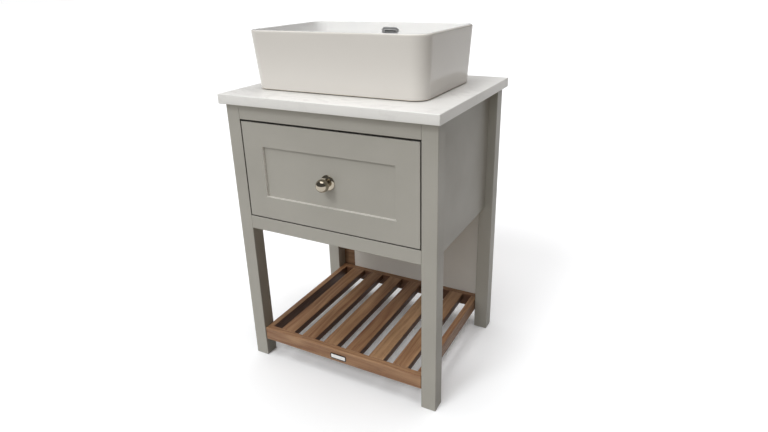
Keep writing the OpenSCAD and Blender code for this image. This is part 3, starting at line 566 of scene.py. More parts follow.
@dataclass(frozen=True)
class Paint:
    """Sprayed satin paint on wood."""

    name: str = "satin_paint"
    colour: tuple = (0.420, 0.404, 0.365, 1.0)
    joined: bool = False
    # Box of the gap round the drawer, whose faces get painted shade
    shade_gap: tuple = ()
    recess: tuple = ()
    # Colour of dust with a painted highlight on the recess ledge, and the strip along its arris
    dust_and_highlight: tuple = (0.70, 0.68, 0.64, 1.0)
    highlight_band: tuple = (0.0003, 0.0022)
    # Colour of the painted light on the recess's left cheek, against its shade
    cheek_light: tuple = (0.93, 0.91, 0.87, 1.0)
    rough: tuple = (0.40, 0.52)
    relief: tuple = (0.09, 0.0006)
    patch_size: float = 0.16
    peel_size: float = 0.0022
    arris: float = 0.0012

    def material(self) -> bpy.types.Material:
        """The paint: faint patches, orange peel, and edges rubbed a little paler.

        Faces in the gap round the drawer are painted darker, a painted shade. The drawer's recess
        has rounded edges too. Dust and a painted highlight lie on its ledge and along the arris under
        it, and its left cheek is painted paler, a painted light against its shade.

        Returns:
            The material. A joined surface keeps its face normals outside the recess, so that
            flush joints under the paint don't show.
        """
        material, bench, shader, place = fresh(self.name)
        # thin is the paint darkened into a painted shade, for faces in the gap round the drawer
        rubbed, thin = shaded(self.colour, 1.16), shaded(self.colour, 0.35)
        patch = bench.patches(place, self.patch_size)
        brush = bench.noise(bench.stretch(place, (70, 70, 9)), 1.0, 3.0, 0.6)
        height = bench.math("ADD", bench.grit(place, self.peel_size), bench.times(brush, 0.6))
        tint = bench.blend(patch, self.colour, shaded(self.colour, 0.93))
        edge = bench.edges(self.arris)
        wear = bench.times(edge["Edge"], bench.span(brush, 0.35, 0.6, 0.25, 0.8))
        normal = edge["Normal"]
        if self.joined:
            low, high = self.recess
            start, stop = self.highlight_band
            inside = bench.within(place, low, high)
            # Dust and a painted highlight on the ledge, and a painted highlight on a strip along the arris
            # under it
            highlight_strip = bench.within(place, (*low[:2], low[2] + start), (*high[:2], low[2] + stop))
            ledge = bench.times(bench.span(bench.looks(Axis.Z), 0.6, 0.9), inside)
            tint = bench.blend(bench.times(bench.math("MAXIMUM", ledge, highlight_strip), 0.9), tint, self.dust_and_highlight)
            # Painted light: the left cheek is made paler so that its shade doesn't show
            cheek = bench.times(bench.span(bench.looks(Axis.X), 0.6, 0.9), inside)
            tint = bench.blend(cheek, tint, self.cheek_light)
            tint = bench.blend(bench.times(wear, inside), tint, rubbed)
            # Painted shade on the edge faces of the drawer front, which lie in the gap
            aside = bench.span(bench.math("ABSOLUTE", bench.looks(Axis.Y)), 0.6, 0.4)
            tint = bench.blend(bench.times(aside, bench.math("SUBTRACT", 1.0, inside)), tint, thin)
            plain = bench.put("NewGeometry", {}).outputs["Normal"]
            normal = bench.put("Mix", {0: inside, 4: plain, 5: normal}, data_type="VECTOR").outputs[1]
        else:
            tint = bench.blend(wear, tint, rubbed)
            if self.shade_gap:
                # Painted shade on faces in the gap round the drawer
                tint = bench.blend(bench.within(place, *self.shade_gap), tint, thin)
        bench.finish(shader, tint, bench.span(patch, 0, 1, *self.rough), height, self.relief, normal)
        return material


@dataclass(frozen=True)
class Oak:
    """Oiled oak slats and rails."""

    inside: tuple
    pale: tuple = (0.54, 0.335, 0.185, 1.0)
    deep: tuple = (0.20, 0.086, 0.041, 1.0)
    pore: tuple = (0.075, 0.034, 0.017, 1.0)
    worn: tuple = (0.62, 0.43, 0.27, 1.0)
    # Colour of the painted shade on upright faces inside the shelf's frame
    inner_shade: tuple = (0.090, 0.036, 0.017, 1.0)
    rough: tuple = (0.38, 0.56)
    relief: tuple = (0.35, 0.0005)
    ring: float = 0.010
    patch_size: float = 0.05
    arris: float = 0.002

    def material(self) -> bpy.types.Material:
        """The oak, from the board's own wood and tone attributes.

        Upright faces inside the frame of the shelf are darker, a painted shade.

        Returns:
            The material: figure, darker boards by tone, open pores, and edges worn paler.
        """
        material, bench, shader, place = fresh("oiled_oak")
        wood = bench.put("Attribute", {}, attribute_name="wood").outputs["Vector"]
        tone = bench.put("Attribute", {}, attribute_name="tone").outputs["Fac"]
        figure = bench.group("timber_figure", {"Place": wood, "Ring": self.ring})
        share = bench.times(bench.span(figure["Tone"], 0.25, 0.78), 0.55)
        tint = bench.blend(bench.math("ADD", share, bench.times(tone, 0.62)), self.pale, self.deep)
        tint = bench.blend(bench.times(figure["Pore"], 0.55), tint, self.pore)
        tint = bench.blend(bench.times(bench.patches(place, self.patch_size), 0.16), tint, self.deep)
        # Painted shade on upright faces inside the shelf's frame
        upright = bench.span(bench.math("ABSOLUTE", bench.looks(Axis.Z)), 0.7, 0.4)
        in_shade = bench.times(bench.within(place, *self.inside), upright)
        tint = bench.blend(bench.times(in_shade, 0.75), tint, self.inner_shade)
        edge = bench.edges(self.arris)
        tint = bench.blend(bench.times(edge["Edge"], 0.55), tint, self.worn)
        gloss = bench.span(figure["Tone"], 0, 1, *self.rough)
        bench.finish(shader, tint, gloss, figure["Height"], self.relief, edge["Normal"])
        return material


@dataclass(frozen=True)
class Timber:
    """Bare or lacquered boards that keep their solid, read from object coordinates."""

    name: str
    run: Axis
    face: Axis
    pale: tuple
    deep: tuple
    ring: float = 0.011
    plies: float = 0.0
    rough: tuple = (0.5, 0.66)
    relief: tuple = (0.25, 0.0004)
    arris: float = 0.0008

    def material(self) -> bpy.types.Material:
        """The board, with the layers of plywood on its edges where it has any.

        The layers are a wave across the board's thickness. They show where the face looks away
        from the thickness, which the normal tells.

        Returns:
            The material.
        """
        title = f"{self.name}_{self.run.name}_{self.face.name}".lower()
        material, bench, shader, place = fresh(title)
        parts = bench.split(place)
        wood = bench.put("CombineXYZ", {n: parts[k] for n, k in enumerate(self.run.first())}).outputs[0]
        figure = bench.group("timber_figure", {"Place": wood, "Ring": self.ring})
        tint = bench.blend(bench.span(figure["Tone"], 0.2, 0.85), self.pale, self.deep)
        tint = bench.blend(bench.times(figure["Pore"], 0.3), tint, self.deep)
        if self.plies:
            on_edge = bench.span(bench.math("ABSOLUTE", bench.looks(self.face)), 0.5, 0.3)
            turns = bench.times(parts[self.face.value], 2 * math.pi / self.plies)
            layer = bench.span(bench.math("SINE", turns), -0.4, 0.4)
            layers = bench.blend(layer, shaded(self.deep, 0.62), self.pale)
            tint = bench.blend(bench.times(on_edge, 0.85), tint, layers)
        gloss = bench.span(figure["Tone"], 0, 1, *self.rough)
        normal = bench.edges(self.arris)["Normal"]
        bench.finish(shader, tint, gloss, figure["Height"], self.relief, normal)
        return material


@dataclass(frozen=True)
class Marble:
    """Honed white marble with faint grey veins."""

    ground: tuple = (0.87, 0.862, 0.845, 1.0)
    vein: tuple = (0.46, 0.45, 0.44, 1.0)
    rough: tuple = (0.27, 0.36)
    relief: tuple = (0.05, 0.0004)
    patch_size: float = 0.22
    grit_size: float = 0.0015
    arris: float = 0.001

    def material(self) -> bpy.types.Material:
        """The stone: veins are the places where a bent noise crosses its middle value.

        Returns:
            The material. The veins are fainter on the edges than on the face.
        """
        material, bench, shader, place = fresh("honed_marble")
        swirl = bench.put("TexNoise", {"Vector": place, "Scale": 5.0, "Detail": 4.0}).outputs["Color"]
        swirl = bench.stretch(swirl, (0.16, 0.16, 0.16))
        bent = bench.put("VectorMath", {0: place, 1: swirl}, operation="ADD").outputs[0]
        drawn = bench.stretch(bent, (3.2, 7.5, 5.0))
        bold, thin = [
            bench.math("ABSOLUTE", bench.math("SUBTRACT", bench.noise(drawn, scale, detail, rough), 0.5))
            for scale, detail, rough in ((1.0, 5.0, 0.55), (2.7, 4.0, 0.6))
        ]
        veins = bench.math("MAXIMUM", bench.span(bold, 0.022, 0), bench.span(thin, 0.014, 0, 0, 0.5))
        patch = bench.patches(place, self.patch_size)
        veins = bench.times(veins, bench.span(patch, 0.25, 1.0, 0.05, 0.42))
        veins = bench.times(veins, bench.span(bench.looks(Axis.Z), 0.3, 0.8, 0.35, 1.0))
        tint = bench.blend(patch, self.ground, shaded(self.ground, 0.955))
        tint = bench.blend(veins, tint, self.vein)
        height, normal = bench.grit(place, self.grit_size), bench.edges(self.arris)["Normal"]
        bench.finish(shader, tint, bench.span(patch, 0, 1, *self.rough), height, self.relief, normal)
        return material


@dataclass(frozen=True)
class Glaze:
    """White glaze over fired clay, with a bare foot."""

    foot: float
    middle: Vector
    white: tuple = (0.865, 0.86, 0.845, 1.0)
    cool: tuple = (0.834725, 0.8342, 0.832325, 1.0)
    # Darker, warmer colour outside the bowl: painted shade and reflection
    outer: tuple = (0.72, 0.69, 0.652, 1.0)
    clay: tuple = (0.66, 0.60, 0.51, 1.0)
    rough: tuple = (0.09, 0.14)
    relief: tuple = (0.25, 0.0012)
    bare_height: float = 0.0018
    ragged: float = 0.0006
    patch_size: float = 0.11
    peel_size: float = 0.004

    def material(self) -> bpy.types.Material:
        """The glaze: slow ripples, patches of thicker glaze, and clay below the foot's line.

        Outside the bowl the glaze is darker and warmer, a painted shade and reflection. A face is
        outside where it looks away from the basin's middle.

        Returns:
            The material.
        """
        material, bench, shader, place = fresh("white_glaze")
        patch = bench.patches(place, self.patch_size)
        tint = bench.blend(patch, self.white, self.cool)
        outwards = bench.stretch(place, (1, 1, 0), (-self.middle.x, -self.middle.y, 0))
        outwards = bench.put("VectorMath", {0: outwards}, operation="NORMALIZE").outputs[0]
        lean = bench.lean(outwards, bench.put("NewGeometry", {}).outputs["Normal"])
        # Painted shade and reflection on faces outside the bowl
        tint = bench.blend(bench.span(lean, 0.05, 0.55), tint, self.outer)
        wavy = bench.math("ADD", bench.split(place)[2], bench.times(patch, self.ragged))
        line = self.foot + self.bare_height
        bare = bench.span(wavy, line + self.ragged, line)
        tint = bench.blend(bare, tint, self.clay)
        gloss = bench.math("ADD", bench.span(patch, 0, 1, *self.rough), bench.times(bare, 0.6))
        peel = bench.times(bench.grit(place, self.peel_size), 0.02)
        height = bench.math("ADD", bench.noise(place, 14.0, 2.0, 0.4), peel)
        bench.finish(shader, tint, gloss, height, self.relief)
        return material


@dataclass(frozen=True)
class Metal:
    """A metal surface with patches, fine marks and brighter edges."""

    name: str
    colour: tuple
    rough: tuple
    relief: tuple = (0.02, 0.0003)
    grit_size: float = 0.0012
    rim: tuple = ()
    coat: tuple = ()
    coated: tuple = ()
    patch_size: float = 0.018
    arris: float = 0.0004

    def material(self) -> bpy.types.Material:
        """The metal, with a dark rim by attribute, painted shadow and dark reflection round a plate's
        edge, or paint in a box, where it has them.

        Returns:
            The material, metallic but for the paint.
        """
        material, bench, shader, place = fresh(self.name)
        bench.lead({"Metallic": 1.0}, shader.inputs)
        patch = bench.patches(place, self.patch_size)
        tint = bench.blend(patch, self.colour, shaded(self.colour, 0.86))
        edge = bench.edges(self.arris)
        tint = bench.blend(bench.times(edge["Edge"], 0.5), tint, shaded(self.colour, 1.12))
        # Painted shadow and dark reflection: the dark rim round a plate's edge
        if self.rim:
            border = bench.put("Attribute", {}, attribute_name="rim").outputs["Fac"]
            tint = bench.blend(border, tint, self.rim)
        if self.coat:
            painted = bench.within(place, *self.coated)
            tint = bench.blend(painted, tint, self.coat)
            bench.lead({"Metallic": bench.math("SUBTRACT", 1.0, painted)}, shader.inputs)
        gloss, height = bench.span(patch, 0, 1, *self.rough), bench.grit(place, self.grit_size)
        bench.finish(shader, tint, gloss, height, self.relief, edge["Normal"])
        return material


@dataclass(frozen=True)
class Matt:
    """A dull dark surface: rubber seals, and the painted shade in the pocket of the overflow."""

    name: str
    colour: tuple
    rough: tuple = (0.58, 0.74)
    relief: tuple = (0.2, 0.0003)
    patch_size: float = 0.012
    grit_size: float = 0.0008

    def material(self) -> bpy.types.Material:
        """The surface, with a little pale bloom in patches.

        Returns:
            The material.
        """
        material, bench, shader, place = fresh(self.name)
        patch = bench.patches(place, self.patch_size)
        tint = bench.blend(patch, self.colour, shaded(self.colour, 1.7))
        gloss, height = bench.span(patch, 0, 1, *self.rough), bench.grit(place, self.grit_size)
        bench.finish(shader, tint, gloss, height, self.relief)
        return material


def between(axis: Axis, first: str, second: str, more: float) -> tuple:
    """Limits of the room between two nodes along an axis, reaching a little into both."""
    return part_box(first)[1][axis.value] - more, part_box(second)[0][axis.value] + more


@dataclass
class Finishes:
    """Every finish of the washstand, made once."""

    rear: tuple = (0.70, 0.675, 0.635, 1.0)
    made: dict = field(default_factory=dict)

    def rooms(self) -> tuple:
        """The boxes in which a finish differs.

        Returns:
            The gap round the drawer, where the paint gets painted shade, the recess of its front,
            the inside of the shelf's frame, where upright oak gets painted shade, and the part of the
            screws whose heads were painted with the rear panel.
        """
        (_, face, _), (_, back, _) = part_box("leg_front_right")
        shade_gap = (between(Axis.X, *both("leg_front"), 0.0005), (face + 0.0008, back),
               between(Axis.Z, "front_rail_bottom", "front_rail_top", 0.0005))
        recess = (between(Axis.X, *both("drawer_stile"), 0.0015), (face - 0.1, back),
                  between(Axis.Z, "drawer_rail_bottom", "drawer_rail_top", 0.0015))
        low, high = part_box("shelf_rail_left")
        # Inside of the shelf's frame, where upright oak faces get painted shade
        well = (between(Axis.X, *both("shelf_rail"), 0.001),
                between(Axis.Y, "shelf_rail_front", "shelf_rail_back", 0.001),
                (low.z - 0.01, high.z + 0.01))
        heads = ((-0.25, 0.25), (-1.0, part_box("back_panel")[0].y + 0.003), (-1.0, 1.0))
        return tuple(tuple(zip(*room)) for room in (shade_gap, recess, well, heads))

    def __post_init__(self) -> None:
        """Makes the materials."""
        shade_gap, recess, well, heads = self.rooms()
        birch = {"pale": (0.66, 0.50, 0.31, 1.0), "deep": (0.50, 0.34, 0.19, 1.0), "plies": 0.0026}
        raw = {"pale": (0.25, 0.145, 0.082, 1.0), "deep": (0.135, 0.072, 0.038, 1.0)}
        steel = {"colour": (0.60, 0.61, 0.62, 1.0), "rough": (0.30, 0.44), "relief": (0.12, 0.0003),
                 "grit_size": 0.0009}
        finishes = {
            "paint": Paint(shade_gap=shade_gap),
            "paint_joined": Paint("satin_paint_joined", joined=True, recess=recess),
            "paint_rear": Paint("satin_paint_rear", self.rear),
            "oak": Oak(well),
            "raw": Timber("raw_board", Axis.X, Axis.Y, **raw),
            "birch_x": Timber("birch", Axis.X, Axis.Y, **birch),
            "birch_y": Timber("birch", Axis.Y, Axis.X, **birch),
            "birch_z": Timber("birch", Axis.X, Axis.Z, **birch),
            "marble": Marble(),
            "glaze": Glaze(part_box("basin")[0].z, centre("basin")),
            "chrome": Metal("polished_chrome", (0.80, 0.80, 0.81, 1.0), (0.05, 0.10)),
            "chrome_trim": Metal("worn_chrome", (0.86, 0.865, 0.88, 1.0), (0.30, 0.44)),
            "nickel": Metal("polished_nickel", (0.44, 0.39, 0.31, 1.0), (0.06, 0.12)),
            # The dark rim is painted shadow and dark reflection round the plate's edge
            "plate": Metal("nickel_plate", (0.86, 0.85, 0.83, 1.0), (0.10, 0.18),
                           rim=(0.045, 0.04, 0.038, 1.0)),
            "zinc": Metal("zinc_steel", **steel),
            "screws": Metal("screw_steel", **steel, coat=self.rear, coated=heads),
            "brass": Metal("cast_brass", (0.62, 0.45, 0.20, 1.0), (0.32, 0.46), (0.25, 0.0003), 0.0009),
            "rubber": Matt("seal_rubber", (0.035, 0.033, 0.031, 1.0)),
            # Dark grey painted shade for the overflow's pocket
            "shade": Matt("overflow_shade", (0.15, 0.148, 0.145, 1.0)),
        }
        self.made = {name: finish.material() for name, finish in finishes.items()}

    def __getitem__(self, name: str) -> bpy.types.Material:
        """The material of that name."""
        return self.made[name]


# Sub-assemblies


@dataclass
class Assembly:
    """What every sub-assembly knows: the CAD nodes and the finishes."""

    nodes: dict
    finishes: Finishes

    def dress(self, names: list, finish: str) -> None:
        """Gives CAD nodes that keep their solid a finish.

        Args:
            names: Nodes.
            finish: Name of the finish.
        """
        for name in names:
            mesh = self.nodes[name].data
            mesh.materials.clear()
            mesh.materials.append(self.finishes[finish])
            LOG.info("%s keeps its solid, in %s", name, finish)

    def stand_in(self, piece: bpy.types.Object, node: str, body: str, slot: str) -> None:
        """Lets a new piece stand for a CAD node.

        Args:
            piece: The new piece.
            node: The CAD node that it replaces.
            body: The body that it rides on.
            slot: Not used.
        """
        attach(piece, body)
        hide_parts(node)
        LOG.info("%s stands for %s, %d faces", piece.name, node, len(piece.data.polygons))


@dataclass
class Cabinet(Assembly):
    """Legs, rails, panels, boards and their fastenings."""

    def build(self) -> None:
        """Dresses the carcass."""
        rails = ["front_rail_top", "front_rail_bottom"]
        self.dress(both("leg_front", "leg_back", "side_panel") + rails, "paint")
        self.dress(["back_panel"], "paint_rear")
        self.dress(["back_board", "rear_rail"], "raw")
        self.dress(both("top_cleat"), "birch_y")
        self.dress(["dowels"], "birch_x")
        self.dress(["cabinet_screws"], "screws")


@dataclass
class Countertop(Assembly):
    """The marble slab with the hole for the waste."""

    ease: float = 0.0016
    beside: float = 0.001
    border: float = 0.02
    corner: float = 0.0025
    hole_radius: float = 0.02795

    def build(self) -> None:
        """Makes the slab as one ring-shaped surface round its hole.

        Rounded rectangles go up the edge over an arc at the bottom and one at the top, and the
        hole's circle closes the surface inside. Two more rectangles on each face keep its
        shading flat.
        """
        low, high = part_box("countertop")
        size, ease = high - low, self.ease
        arcs = np.concatenate([
            bow(ease, 270, 180, 4, (ease, ease)), bow(ease, 180, 90, 4, (ease, size.z - ease))])
        flat = [self.border, ease + self.beside]
        inset = np.concatenate([flat, arcs[:, 0], flat[::-1]])
        height = np.concatenate([[0, 0], arcs[:, 1], [size.z, size.z]])
        middle = centre("countertop")
        rings = [
            level(outline(size.x - 2 * i, size.y - 2 * i, self.corner, 6, 20), low.z + h, middle)
            for i, h in zip(inset, height)
        ]
        shift = np.array(centre("waste_body"))[:2]
        circle = round_like(rings[0][:, :2] - shift, self.hole_radius) + shift
        rings = [level(circle, low.z)] + rings + [level(circle, high.z)]
        piece = made("marble_top", [skin(rings, around=True)], self.finishes["marble"])
        self.stand_in(piece, "countertop", "cabinet", "marble")


@dataclass
class Basin(Assembly):
    """The glazed basin, its seal and the trim of its overflow."""

    side_draw: float = 0.0085
    end_draw: float = 0.0105
    corner: float = 0.040
    corner_draw: float = 0.003
    corner_least: float = 0.022
    foot_height: float = 0.011
    foot_ease: float = 0.002
    foot_wall: float = 0.012
    foot_tight: float = 0.010
    foot_break: float = 0.001
    floor: float = 0.011
    wall: float = 0.008
    wall_in: float = 0.015
    wall_start: float = 0.003
    turn: float = 0.030
    floor_fall: float = 0.003
    floor_run: float = 0.065
    lip_out: float = 0.0050
    lip_in: float = 0.0020
    waste_seat: float = 0.034
    seat_break: tuple = (0.0012, 0.001)
    seat_drop: float = 0.0035
    hole: float = 0.02245
    trim: tuple = (0.054, 0.021, 0.002)
    trim_edge: float = 0.0006
    trim_slot: float = 0.0084
    trim_lip: float = 0.0008
    trim_drop: float = 0.024
    trim_collar: float = 0.004
    trim_deep: float = 0.0045
    pocket_gap: float = 0.0001
    pocket_deep: float = 0.005
    pocket_out: float = 0.003

    def ring(self, inset: float, height: float, draw: float = 0.0, radius: float = 0.0) -> np.ndarray:
        """One ring of the basin.

        Args:
            inset: Distance inside the rim's outline.
            height: Height in the frame.
            draw: Share of the outer walls' draw, 1 at the foot.
            radius: Corner radius, or 0 for the one that belongs to the inset.

        Returns:
            Points of the ring.
        """
        low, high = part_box("basin")
        width = high.x - low.x - 2 * inset - 2 * self.side_draw * draw
        depth = high.y - low.y - 2 * inset - 2 * self.end_draw * draw
        corner = radius or max(self.corner - 0.3 * inset, self.corner_least)
        return level(outline(width, depth, corner, 14, 26), height, centre("basin"))

    def levels(self) -> tuple:
        """Heights that the rings and the overflow share.

        Returns:
            Height of the underside inside the foot, height of the floor at the waste, and how
            far below the rim the straight inner walls end.
        """
        low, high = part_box("basin")
        under = low.z + self.foot_height
        floor = under + self.floor
        return under, floor, high.z - floor - self.floor_fall - self.turn

    def rings(self) -> list:
        """All rings from the hole under the foot, up the outside, over the rim and down inside.

        Returns:
            Rings of one closed surface. The walls are straight, the rim has an arc on each side,
            and the wall turns into the floor on an arc.
        """
        low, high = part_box("basin")
        under, floor, wall_drop = self.levels()
        foot, lip, rim = self.foot_ease, self.lip_out, self.lip_in
        foot_corner, foot_in = self.corner - self.corner_draw, self.foot_wall + foot
        tight, edge = foot_corner - self.foot_tight, self.foot_break
        wall_end = self.wall + self.wall_in
        rows = [(foot_in, under, 1, tight), (foot_in, low.z + edge, 1, tight),
                (foot_in - edge, low.z, 1, tight + edge)]
        rows += [(inset, low.z + height, 1, foot_corner - inset)
                 for inset, height in bow(foot, 270, 180, 4, (foot, foot))]
        rows += [(0, low.z + (1 - share) * (high.z - low.z - lip), share,
                  self.corner - self.corner_draw * share)
                 for share in np.linspace(0.96, 0.04, 9)]
        rows += [(inset, height, 0, self.corner - inset)
                 for inset, height in bow(lip, 180, 90, 10, (lip, high.z - lip))]
        rows += list(bow(rim, 90, 8, 6, (self.wall - rim, high.z - rim)))
        rows += [(self.wall + self.wall_in * share,
                  high.z - self.wall_start - (wall_drop - self.wall_start) * share)
                 for share in np.linspace(0.12, 1, 10)]
        rows += [(wall_end + self.turn * (1 - math.sin(angle)),
                  high.z - wall_drop - self.turn * math.cos(angle))
                 for angle in np.radians(np.linspace(84, 0, 15))]
        rows += [(wall_end + self.turn + self.floor_run * share, floor + self.floor_fall * (1 - share))
                 for share in (0.25, 0.5, 0.75, 0.97, 1.0)]
        rings = [self.ring(*row) for row in rows]
        middle = np.array(centre("basin"))
        last = rings[-1][:, :2] - middle[:2]
        seat, bottom = self.waste_seat, floor - self.seat_drop
        wider, lower = self.seat_break
        for radius, height in ((seat + wider, floor), (seat, floor - lower), (seat, bottom),
                               (self.hole, bottom), (self.hole, under)):
            rings.append(level(round_like(last, radius), height, middle))
        return rings

    def slope(self) -> Matrix:
        """Where the overflow sits.

        Returns:
            Rotation and translation to a place on the back wall, the third axis out of the glaze.
        """
        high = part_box("basin")[1]
        run = self.levels()[2] - self.wall_start
        back = high.y - self.wall - self.wall_in * (self.trim_drop - self.wall_start) / run
        tilt = math.pi / 2 - math.atan(self.wall_in / run)
        return leaned((centre("basin").x, back, high.z - self.trim_drop), tilt)

    def oblong(self, inset: float, height: float) -> np.ndarray:
        """A ring of the oblong trim, its ends all but half round."""
        width, depth = self.trim[0] - 2 * inset, self.trim[1] - 2 * inset
        return level(outline(width, depth, depth / 2 - NEARLY, 12, 6), height)

    def overflow_trim(self) -> Shell:
        """The trim: a crowned rim round its slot, and a collar behind it.

        The crown is a sine over the rim's width, raised to a power for fuller shoulders.

        Returns:
            The closed shell in the overflow's own axes.
        """
        edge, slot, deep, collar = self.trim_edge, self.trim_slot, self.trim_deep, self.trim_collar
        swell, reach, power = self.trim[2] - edge, 0.86 * math.pi, 0.6
        profile = [(slot, -deep), (collar, -deep), (collar, HAIR), (0.0, HAIR), (0.0, edge)]
        profile += [(share * slot, edge + swell * math.sin(reach * share) ** power)
                    for share in np.linspace(0.08, 0.92, 12)]
        profile.append((slot, self.trim_lip))
        return skin([self.oblong(inset, height) for inset, height in profile], around=True)

    def build(self) -> None:
        """Makes the basin, cuts its overflow and fits the trim."""
        basin = made("glazed_basin", [skin(self.rings(), around=True)], self.finishes["glaze"], 50)
        inset = self.trim_collar - self.pocket_gap
        tool = skin([self.oblong(inset, -self.pocket_deep), self.oblong(inset, self.pocket_out)])
        # The pocket's new faces take the dark grey of painted shade
        hollowed(basin, tool.placed(self.slope()), self.finishes["shade"])
        self.stand_in(basin, "basin", "cabinet", "glaze")
        ring = self.overflow_trim().placed(self.slope())
        trim = made("overflow_ring", [ring], self.finishes["chrome_trim"])
        self.stand_in(trim, "overflow_trim", "cabinet", "chrome")
        self.dress(["basin_seal"], "rubber")


@dataclass
class Waste(Assembly):
    """Waste fitting under the basin, and its plug."""

    cap: float = 0.031
    cap_rise: float = 0.0035
    cap_edge: float = 0.0025
    cap_turn: tuple = (0.001, 0.0003)
    cap_top: float = 0.006
    stem: float = 0.0035

    def build(self) -> None:
        """Turns the plug and dresses the fitting."""
        low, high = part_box("waste_plug")
        seat, cap = high.z - self.cap_top - low.z, self.cap
        wide, fine = self.cap_turn
        under = [(HAIR, 0), (self.stem - BREAK, 0), (self.stem, BREAK), (self.stem, seat),
                 (cap - wide, seat), (cap - fine, seat + fine), (cap, seat + wide)]
        angle = np.radians(np.linspace(4, 89.9, 24))
        dome = np.stack([cap * np.cos(angle), seat + self.cap_edge + self.cap_rise * np.sin(angle)], -1)
        foot = centre("waste_plug")
        foot.z = low.z
        shell = turned(np.concatenate([under, dome])).placed(Matrix.Translation(foot))
        plug = made("click_plug", [shell], self.finishes["chrome"])
        self.stand_in(plug, "waste_plug", "plug", "chrome")
        self.dress(["waste_body"], "chrome")
        self.dress(["waste_washer_top", "waste_washer_bottom"], "rubber")
        self.dress(["waste_backnut", "click_cartridge"], "brass")


@dataclass
class Drawer(Assembly):
    """Framed front, box and fastenings of the drawer."""

    def build(self) -> None:
        """Dresses the front, the box and the screws."""
        front = both("drawer_stile") + ["drawer_rail_top", "drawer_rail_bottom", "drawer_panel"]
        self.dress(front, "paint_joined")
        self.dress(both("drawer_side", "drawer_well"), "birch_y")
        self.dress(["drawer_box_front", *both("drawer_back"), "drawer_well_front"], "birch_x")
        self.dress(["drawer_bottom"], "birch_z")
        self.dress(["drawer_screws", "knob_screw"], "zinc")


@dataclass
class Knob(Assembly):
    """Ball knob on a waisted neck, and its domed rose."""

    ball: float = 0.017
    neck: float = 0.0065
    flare: float = 0.0035
    flare_rise: float = 0.0016
    foot_edge: float = 0.0008
    round_in: float = 0.001
    screw: float = 0.0021
    thread: float = 0.0125
    rose_hole: float = 0.0021
    rose_edge: float = 0.0008
    rose_break: float = 0.0002
    rose_flat: float = 0.0006

    def ball_profile(self, length: float) -> np.ndarray:
        """Profile of the knob, from inside its screw hole round to the ball's crown.

        The flare is a quarter of an ellipse, and an arc leads from the neck into the ball.

        Args:
            length: Height of the ball's middle above the rose.

        Returns:
            Rows of radius and height.
        """
        screw, edge, wide = self.screw, self.foot_edge, self.neck + self.flare
        hole = [(HAIR, self.thread), (screw, self.thread), (screw, BREAK), (screw + BREAK, 0)]
        foot = [(wide - BREAK, 0), (wide, BREAK), (wide, edge)]
        angle = np.radians(np.linspace(0, 90, 9))[1:]
        rising = edge + self.flare_rise * (1 - np.cos(angle))
        flare = np.stack([wide - self.flare * np.sin(angle), rising], -1)
        reach = self.neck + self.round_in
        rise = length - math.sqrt((self.ball + self.round_in) ** 2 - reach ** 2)
        lean = math.degrees(math.atan2(length - rise, reach))
        fillet = bow(self.round_in, 180, 180 - lean, 8, (reach, rise))
        ball = bow(self.ball, -lean, 89.8, 40, (0, length))[1:]
        return np.concatenate([hole, foot, flare, fillet, ball])

    def rose_profile(self, radius: float, thick: float) -> np.ndarray:
        """Profile of the rose: a short upright edge and a dome, part of a quarter ellipse.

        Args:
            radius: Outer radius.
            thick: Height at the neck.

        Returns:
            Rows of radius and height of the closed profile.
        """
        hole, fine = self.rose_hole, self.rose_break
        edge = [(hole, 0), (radius - fine, 0), (radius, fine), (radius, self.rose_edge)]
        last = math.acos((self.neck + self.flare + self.rose_flat) / radius)
        angle = np.linspace(0, last, 25)[1:]
        rise = (thick - self.rose_edge) * np.sin(angle) / math.sin(last)
        dome = np.stack([radius * np.cos(angle), self.rose_edge + rise], -1)
        return np.concatenate([edge, dome, [(hole, thick)]])

    def build(self) -> None:
        """Turns the knob and the rose, and lays their axis along the drawer's travel."""
        size = {node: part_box(node)[1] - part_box(node)[0] for node in ("knob", "knob_rose")}
        ball = self.ball_profile(size["knob"].y - self.ball)
        rose = self.rose_profile(size["knob_rose"].x / 2, size["knob_rose"].y)
        axis = centre("knob")
        for name, node, profile, around in (
                ("ball_knob", "knob", ball, False), ("knob_backplate", "knob_rose", rose, True)):
            foot = leaned((axis.x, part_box(node)[1].y, axis.z), math.pi / 2)
            shell = turned(profile, around).placed(foot)
            self.stand_in(made(name, [shell], self.finishes["nickel"], 50), node, "drawer", "nickel")


@dataclass
class Runners(Assembly):
    """Three-part runners on both sides of the drawer."""

    def build(self) -> None:
        """Dresses the members."""
        self.dress(both("runner_outer", "runner_middle", "runner_inner"), "zinc")


